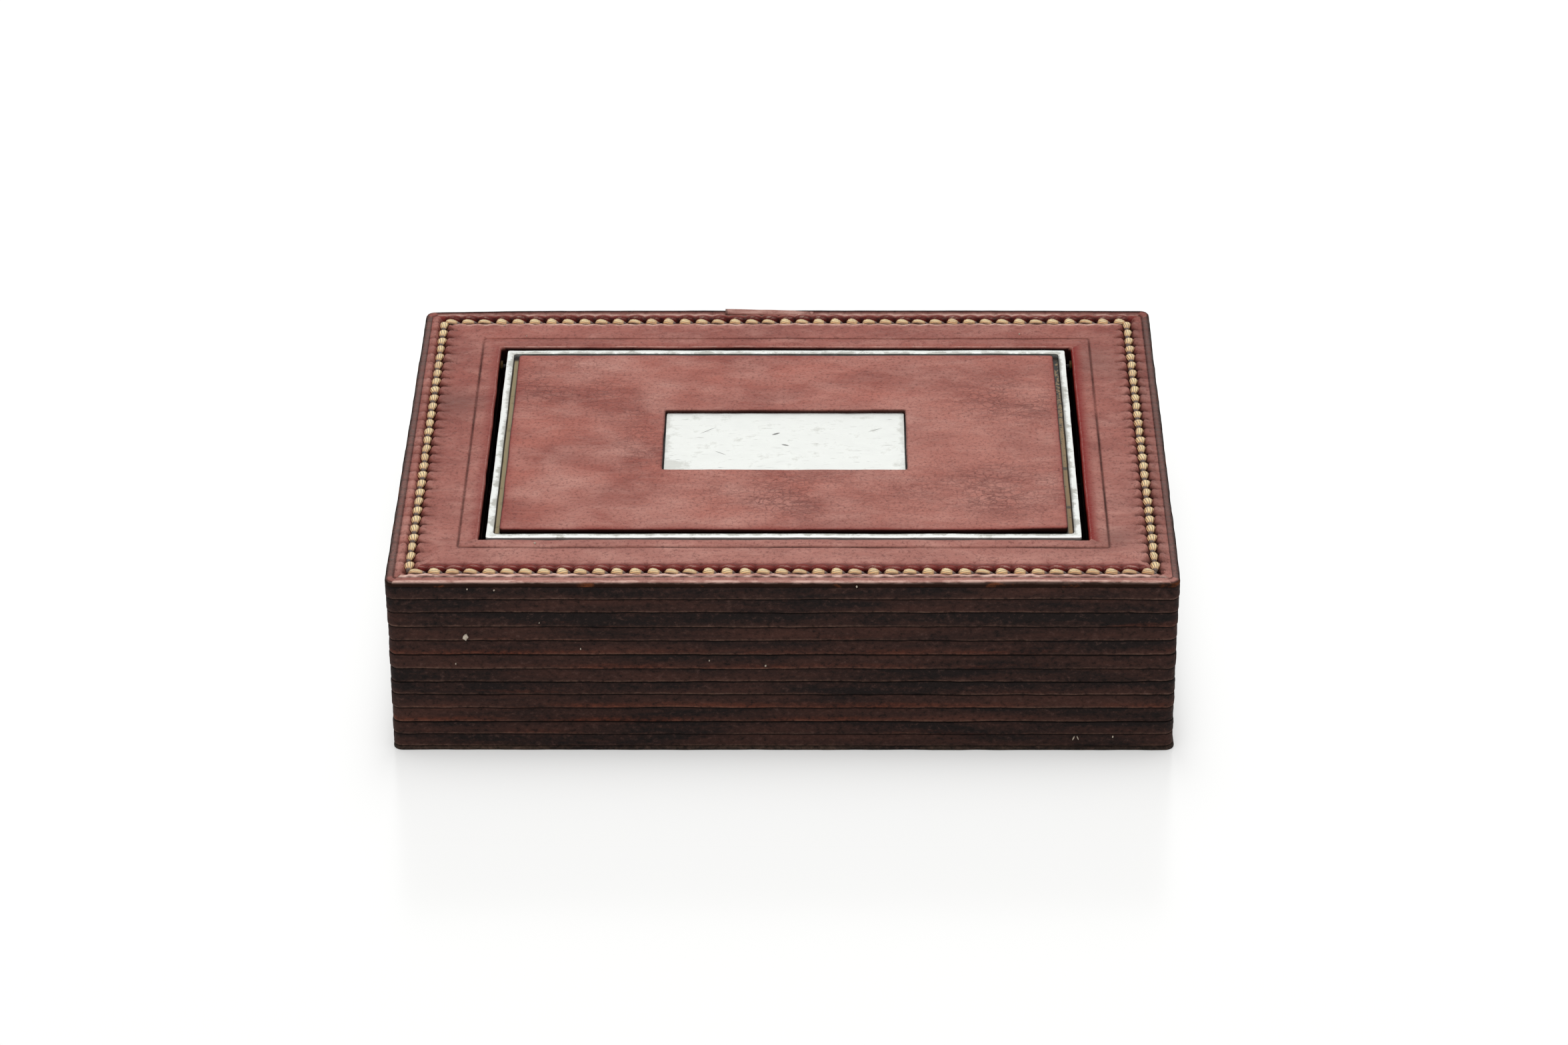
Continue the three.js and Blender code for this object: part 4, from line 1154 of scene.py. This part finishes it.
class BOX_OT_lid_leather(bpy.types.Operator):
    """Make the leather inset with its window and its lifted corner"""

    bl_idname = "keepsake.lid_leather"
    bl_label = "Leather inset"

    def execute(self, context):
        lid, cover = context.scene.box_lid, context.scene.box_cover
        low, high = node_box("lid_leather")
        rim = np.array((high.x - 0.6, high.y - 0.6))
        window = np.array((lid.window_x / 2, lid.window_y / 2))
        top, soft, radius, steps = high.z, 0.32, 0.9, (150, 100, 6)
        # The outer edge, the face from its rim to the window, and the window's edge
        outer = [(0, radius, low.z), (0, radius, low.z + 0.6), (0, radius, top - soft),
                 (0.08, radius, top - soft * 0.45), (0.3, radius, top - 0.06), (0.6, radius, top)]
        inner = [(-0.25, 0.6, top - 0.03), (-0.06, 0.6, top - 0.15), (0, 0.6, top - 0.35),
                 (0, 0.6, low.z + 0.4), (0, 0.6, low.z)]
        face = [ring(*(rim * (1 - share) + window * share), radius - 0.3 * share, steps)
                for share in np.linspace(0.02, 0.985, 40)]
        points = np.concatenate([inset_rings(high, outer, steps), loft(face, [top] * len(face)),
                                 inset_rings(window, inner, steps)])
        # What moves with the edges, and where painted shade lies on them in near black and deep red, from
        # the outer edge inwards
        edge, dark, red = np.zeros((3, len(points)))
        edge[:6], edge[-5:] = 1, 1
        dark[:5], dark[-5:] = (1, 1, 0.95, 0.6, 0.15), (0.3, 0.65, 0.9, 0.95, 0.95)
        red[2:8] = (0.6, 0.6, 0.5, 0.3, 0.15, 0.05)
        sway = edge[:, None] * waves(points, (11, 70, 0.16), (2.6, 71, 0.05))
        points[..., :2] += ring_outward(steps) * sway[..., None]
        raised = np.clip((points[..., 2] - low.z) / (high.z - low.z), 0, 1)
        swing = waves(points, (26, 72, 0.14), (7, 73, 0.05))
        corner, far_corner = (np.hypot(points[..., 0] - side * high.x, points[..., 1] + high.y)
                              for side in (1, -1))
        lift = lid.corner_lift * bump_at(corner, 13) + 0.12 * bump_at(far_corner, 10)
        points[..., 2] += raised * swing + lift * np.clip(raised, 0.8, 1)

        values = spread(points, pocket=dark, red=red)
        x, y = points[..., 0], points[..., 1]
        # Lighter towards the right and the front and darker at the left end and the back, with streaks of
        # painted highlight over the swells, most of all at the left
        to_left = np.clip(0.5 - x / high.x, 0, 1)
        lighter = 0.3 + 0.25 * (1 - to_left) + 0.12 * np.clip(-y / high.y, 0, 1)
        lighter -= 0.4 * bump_at(x + high.x, 12) + 0.2 * np.clip(y / high.y, 0, 1)
        values["pale"] = np.clip(lighter + (0.4 + 0.9 * to_left) * wander(points, 13, 74), 0, 1)
        # Where the inset has crackled: at the left of the back, round the plaque and at the right
        worn = ((-60, 28, 16, 13), (-38, 0, 7, 17), (2, -30, 24, 11), (57, -28, 20, 15), (62, 22, 16, 12))
        crackle = 0.12 + sum(bump_at(np.hypot((x - at_x) / wide, (y - at_y) / deep), 1)
                             for at_x, at_y, wide, deep in worn)
        values["crackle"] = np.clip(crackle, 0, 1)
        material = burgundy_calf("burgundy_calf_inset", lid.dye, lid.dye_deep, lid.dye_deep,
                                 cover.red_shade, cover.raw_edge)
        piece = lofted("leather_inset", points, material, values, closed=True)
        settle(piece, "lid", "inset_leather", "lid_leather")
        return {"FINISHED"}


class BOX_OT_plaque(bpy.types.Operator):
    """Make the bare plaque that lies low in the window"""

    bl_idname = "keepsake.plaque"
    bl_label = "Plaque"

    def execute(self, context):
        lid = context.scene.box_lid
        low, high = node_box("lid_plaque")
        steps = (90, 50, 5)
        profile = [(0, low.z), (0, high.z - 0.12), (0.05, high.z - 0.04), (0.16, high.z), (0.5, high.z)]
        profile += [(inset, high.z) for inset in np.linspace(1.5, high.y - 1.5, 18)]
        profile = [(inset, max(0.6 - inset * 0.1, 0.3), z) for inset, z in profile]
        points = inset_rings(high, profile, steps)
        points[..., 2] += (points[..., 2] > low.z + 0.2) * waves(points, (12, 75, 0.05), (3, 76, 0.012))
        # Film at both ends and at the front left corner
        ends = np.clip((np.abs(points[..., 0]) - (high.x - 3)) / 3, 0, 1) ** 1.5
        corner = bump_at(np.hypot(points[..., 0] + high.x, points[..., 1] + high.y), 7)
        # The sides below the top get painted shade
        values = {"film": np.clip(ends + corner, 0, 1), "dark": points[..., 2] < high.z - 0.2}
        marks = ((-2.4, 4.3, 0.5, 2.2, 0.7), (0.1, -1.8, -0.35, 2.0, 0.6), (-20.5, 6.2, 0.7, 5.0, 0.2),
                 (24.0, 6.5, 0.5, 4.0, 0.2), (-17.0, -6.0, -0.6, 3.5, 0.2))
        # The plaque has no floor beside an inset, so the floor is put far below it
        material = worn_silver("worn_silver_plaque", lid, filmed=0.3, floor_z=low.z * MM - 1, marks=marks)
        piece = lofted("silver_plaque", points, material, values)
        settle(piece, "lid", "silver", "lid_plaque")
        return {"FINISHED"}


class BOX_OT_backing_board(bpy.types.Operator):
    """Make the oiled board in the underside of the lid"""

    bl_idname = "keepsake.backing_board"
    bl_label = "Backing board"

    def execute(self, context):
        low, high = node_box("lid_backing_board")
        soft = 0.4
        profile = ((soft, low.z), (soft * 0.3, low.z + soft * 0.3), (0, low.z + soft), (0, high.z))
        points = inset_rings(high, [(inset, 1.0, z) for inset, z in profile], (60, 40, 5))
        piece = lofted("walnut_backing_board", points,
                       oiled_board("oiled_walnut_board", context.scene.box_lining.board))
        settle(piece, "lid", "board", "lid_backing_board")
        return {"FINISHED"}


# The inside

def repaint(node, material):
    """Gives a packed solid its finished material."""
    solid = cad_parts[node]
    solid.data.materials.clear()
    solid.data.materials.append(material)


def padded_panel(name, node, material, crown):
    """A covered panel with soft edges that swells a little towards its middle."""
    low, high = node_box(node)
    middle, half = (low + high) / 2, (high - low) / 2
    counts = [max(4, min(60, round(size / 2))) for size in half * 2]
    mesh_points, faces, index = [], [], {}
    thin = min(range(3), key=lambda axis: half[axis])
    wide = [axis for axis in range(3) if axis != thin]

    def corner(cell):
        if cell not in index:
            index[cell] = len(mesh_points)
            share = [2 * c / n - 1 for c, n in zip(cell, counts)]
            place = [share[axis] * half[axis] for axis in range(3)]
            place[thin] *= 1 - crown * max(abs(share[axis]) ** 8 for axis in wide)
            mesh_points.append([middle[axis] + place[axis] for axis in range(3)])
        return index[cell]

    for axis in range(3):
        a, b = (axis + 1) % 3, (axis + 2) % 3
        for end, i, j in itertools.product((0, counts[axis]), range(counts[a]), range(counts[b])):
            quad = []
            for da, db in ((0, 0), (1, 0), (1, 1), (0, 1)):
                cell = [0, 0, 0]
                cell[axis], cell[a], cell[b] = end, i + da, j + db
                quad.append(corner(tuple(cell)))
            faces.append(quad if end else quad[::-1])
    points = np.array(mesh_points)
    points[:, thin] += wander(points, 9, 33) * 0.06 * (1 if thin != 2 else 0.6)
    return new_piece(name, points, faces, material)


class BOX_OT_lining(bpy.types.Operator):
    """Line the compartment with suede panels over their boards"""

    bl_idname = "keepsake.lining"
    bl_label = "Lining"

    def execute(self, context):
        lining = context.scene.box_lining
        suede = napped_suede("napped_suede", lining.suede, lining.nap)
        for node in ("floor_lining", "lining_front", "lining_back", "lining_left", "lining_right"):
            piece = padded_panel(f"suede_{node}", node, suede, crown=0.3)
            settle(piece, "case", "lining_suede", node)
        repaint("floor_board", oiled_board("oiled_floor_board", lining.board))
        return {"FINISHED"}


class BOX_OT_pivot(bpy.types.Operator):
    """Finish the brass bushes and the steel pins that the lid turns on"""

    bl_idname = "keepsake.pivot"
    bl_label = "Pivot"

    def execute(self, context):
        brass = turned_metal("oil_blacked_brass", linear("3A2C18"), linear("171009"), roughness=0.5)
        steel = turned_metal("oil_blacked_steel", linear("2C2A29"), linear("100E0D"), roughness=0.5)
        for side in ("left", "right"):
            repaint(f"pivot_bush_{side}", brass)
            repaint(f"pivot_pin_{side}", steel)
        return {"FINISHED"}


# Camera, lamps and floor

class BOX_OT_stage(bpy.types.Operator):
    """Set the camera, the soft lamps and the white table"""

    bl_idname = "keepsake.stage"
    bl_label = "Stage"

    def execute(self, context):
        stage = context.scene.box_stage
        self.camera(context.scene, stage)
        self.world(context.scene)
        self.lamp("overhead_softbox", place=(0, 0.25, 1.5), aim=(0, 0, 0), size=(1.8, 1.4), watts=9)
        self.lamp("front_fill", place=(-0.5, -1.6, 0.9), aim=(0, 0, 0.03), size=(1.6, 1.0), watts=5)
        self.floor(stage)
        context.scene.view_settings.view_transform = "Standard"
        return {"FINISHED"}

    def camera(self, scene, stage):
        """The camera stands where the corners of the box say the photographer's did."""
        top = CAD_BOX[1].z
        turn, tilt, roll = stage.azimuth, stage.elevation, stage.roll
        back = Vector((math.sin(turn) * math.cos(tilt), -math.cos(turn) * math.cos(tilt), math.sin(tilt)))
        level = Vector((math.cos(turn), math.sin(turn), 0))
        upright = back.cross(level)
        right = level * math.cos(roll) + upright * math.sin(roll)
        up = upright * math.cos(roll) - level * math.sin(roll)
        aim = Vector((0, 0, stage.aim))
        place = aim + back * stage.distance + level * stage.shift_x + upright * stage.shift_y
        data = bpy.data.cameras.new("camera")
        data.sensor_width = SENSOR_WIDTH
        data.lens = stage.focal_px * SENSOR_WIDTH / PHOTO_WIDTH
        data.clip_start, data.clip_end = top, 100 * stage.distance
        camera = bpy.data.objects.new("camera", data)
        scene.collection.objects.link(camera)
        camera.matrix_world = Matrix.Translation(place) @ Matrix((right, up, back)).transposed().to_4x4()
        scene.camera = camera

    def world(self, scene):
        """An even grey-white room that the camera and polished metal see as white."""
        world = bpy.data.worlds.new("white_room")
        world.use_nodes = True
        strength = add(world.node_tree, "MapRange", self.seen(world.node_tree), 0, 1, 0.62, 1.0)
        feed(world.node_tree.nodes["Background"], {"Color": (1, 1, 1, 1), "Strength": strength})
        scene.world = world

    def seen(self, tree):
        """One for a ray from the camera, whether or not a gloss or glass has turned it on the way."""
        ray = add(tree, "LightPath", pick=None).outputs
        seen = add(tree, "Math", ray["Is Camera Ray"], ray["Is Glossy Ray"], operation="MAXIMUM")
        return add(tree, "Math", seen, ray["Is Transmission Ray"], operation="MAXIMUM")

    def lamp(self, name, place, aim, size, watts):
        """A rectangular soft lamp that looks at a point."""
        data = bpy.data.lights.new(name, "AREA")
        data.shape = "RECTANGLE"
        data.size, data.size_y = size
        data.energy = watts
        lamp = bpy.data.objects.new(name, data)
        bpy.context.scene.collection.objects.link(lamp)
        away = Vector(place) - Vector(aim)
        lamp.matrix_world = Matrix.Translation(place) @ away.to_track_quat("Z", "Y").to_matrix().to_4x4()

    def floor(self, stage):
        """A glossy white table top. Rays from the camera see it glow, as painted light, to plain white away
        from the box; close to the box the glow fades by a painted reach, so that the soft shadow and a
        faint reflection show."""
        material, tree, place, _ = new_material("white_gloss_table")
        # How far a point lies outside the box; the shadow reaches least far to the sides
        high = CAD_BOX[1]
        across = add(tree, "VectorMath", place, operation="ABSOLUTE")
        beyond = add(tree, "VectorMath", across, (high.x, high.y, 0), operation="SUBTRACT")
        beyond = add(tree, "VectorMath", beyond, (0, 0, 0), operation="MAXIMUM")
        beyond = add(tree, "VectorMath", beyond, (2.5, 1.0, 1.0), operation="MULTIPLY")
        away = add(tree, "VectorMath", beyond, operation="LENGTH", pick="Value")
        fall = add(tree, "Math", away, -per(stage.shadow_reach), operation="MULTIPLY")
        fall = add(tree, "Math", fall, operation="EXPONENT")
        glow = add(tree, "Math", fall, -stage.shadow, 1.0, operation="MULTIPLY_ADD")
        glow = add(tree, "Math", glow, self.seen(tree), operation="MULTIPLY")
        finish(material, stage.floor, [(glow, linear("000000"))],
               {"Emission Color": stage.floor, "Emission Strength": glow, "Roughness": 0.2})
        half = 4000
        points = np.array([(-half, -half, 0), (half, -half, 0), (half, half, 0), (-half, half, 0)])
        floor = new_piece("table_top", points, [[0, 1, 2, 3]], material, smooth=False)


OPERATORS = (
    BOX_OT_stage, BOX_OT_stack, BOX_OT_top_cover, BOX_OT_edge_strip, BOX_OT_flecks, BOX_OT_stitching,
    BOX_OT_lining, BOX_OT_pivot, BOX_OT_lid_tray, BOX_OT_lid_leather, BOX_OT_plaque, BOX_OT_backing_board,
)


class BOX_PT_panel(bpy.types.Panel):
    """The box's settings and its operators"""

    bl_idname = "BOX_PT_panel"
    bl_label = "Keepsake box"
    bl_space_type = "VIEW_3D"
    bl_region_type = "UI"
    bl_category = "Keepsake box"

    def draw(self, context):
        for name, group in SETTINGS.items():
            settings = getattr(context.scene, name)
            box = self.layout.box()
            box.label(text=group.__doc__)
            for key in group.__annotations__:
                box.prop(settings, key)
        for operator in OPERATORS:
            self.layout.operator(operator.bl_idname)


def register():
    """Adds the settings, the operators and the panel."""
    for cls in (*SETTINGS.values(), *OPERATORS, BOX_PT_panel):
        bpy.utils.register_class(cls)
    for name, group in SETTINGS.items():
        setattr(bpy.types.Scene, name, bpy.props.PointerProperty(type=group))


def unregister():
    """Takes them out again."""
    for name in SETTINGS:
        delattr(bpy.types.Scene, name)
    for cls in reversed((*SETTINGS.values(), *OPERATORS, BOX_PT_panel)):
        bpy.utils.unregister_class(cls)


def main():
    """Makes the stage and every piece."""
    register()
    for operator in OPERATORS:
        group, name = operator.bl_idname.split(".")
        getattr(getattr(bpy.ops, group), name)()


if __name__ == "__main__":
    main()
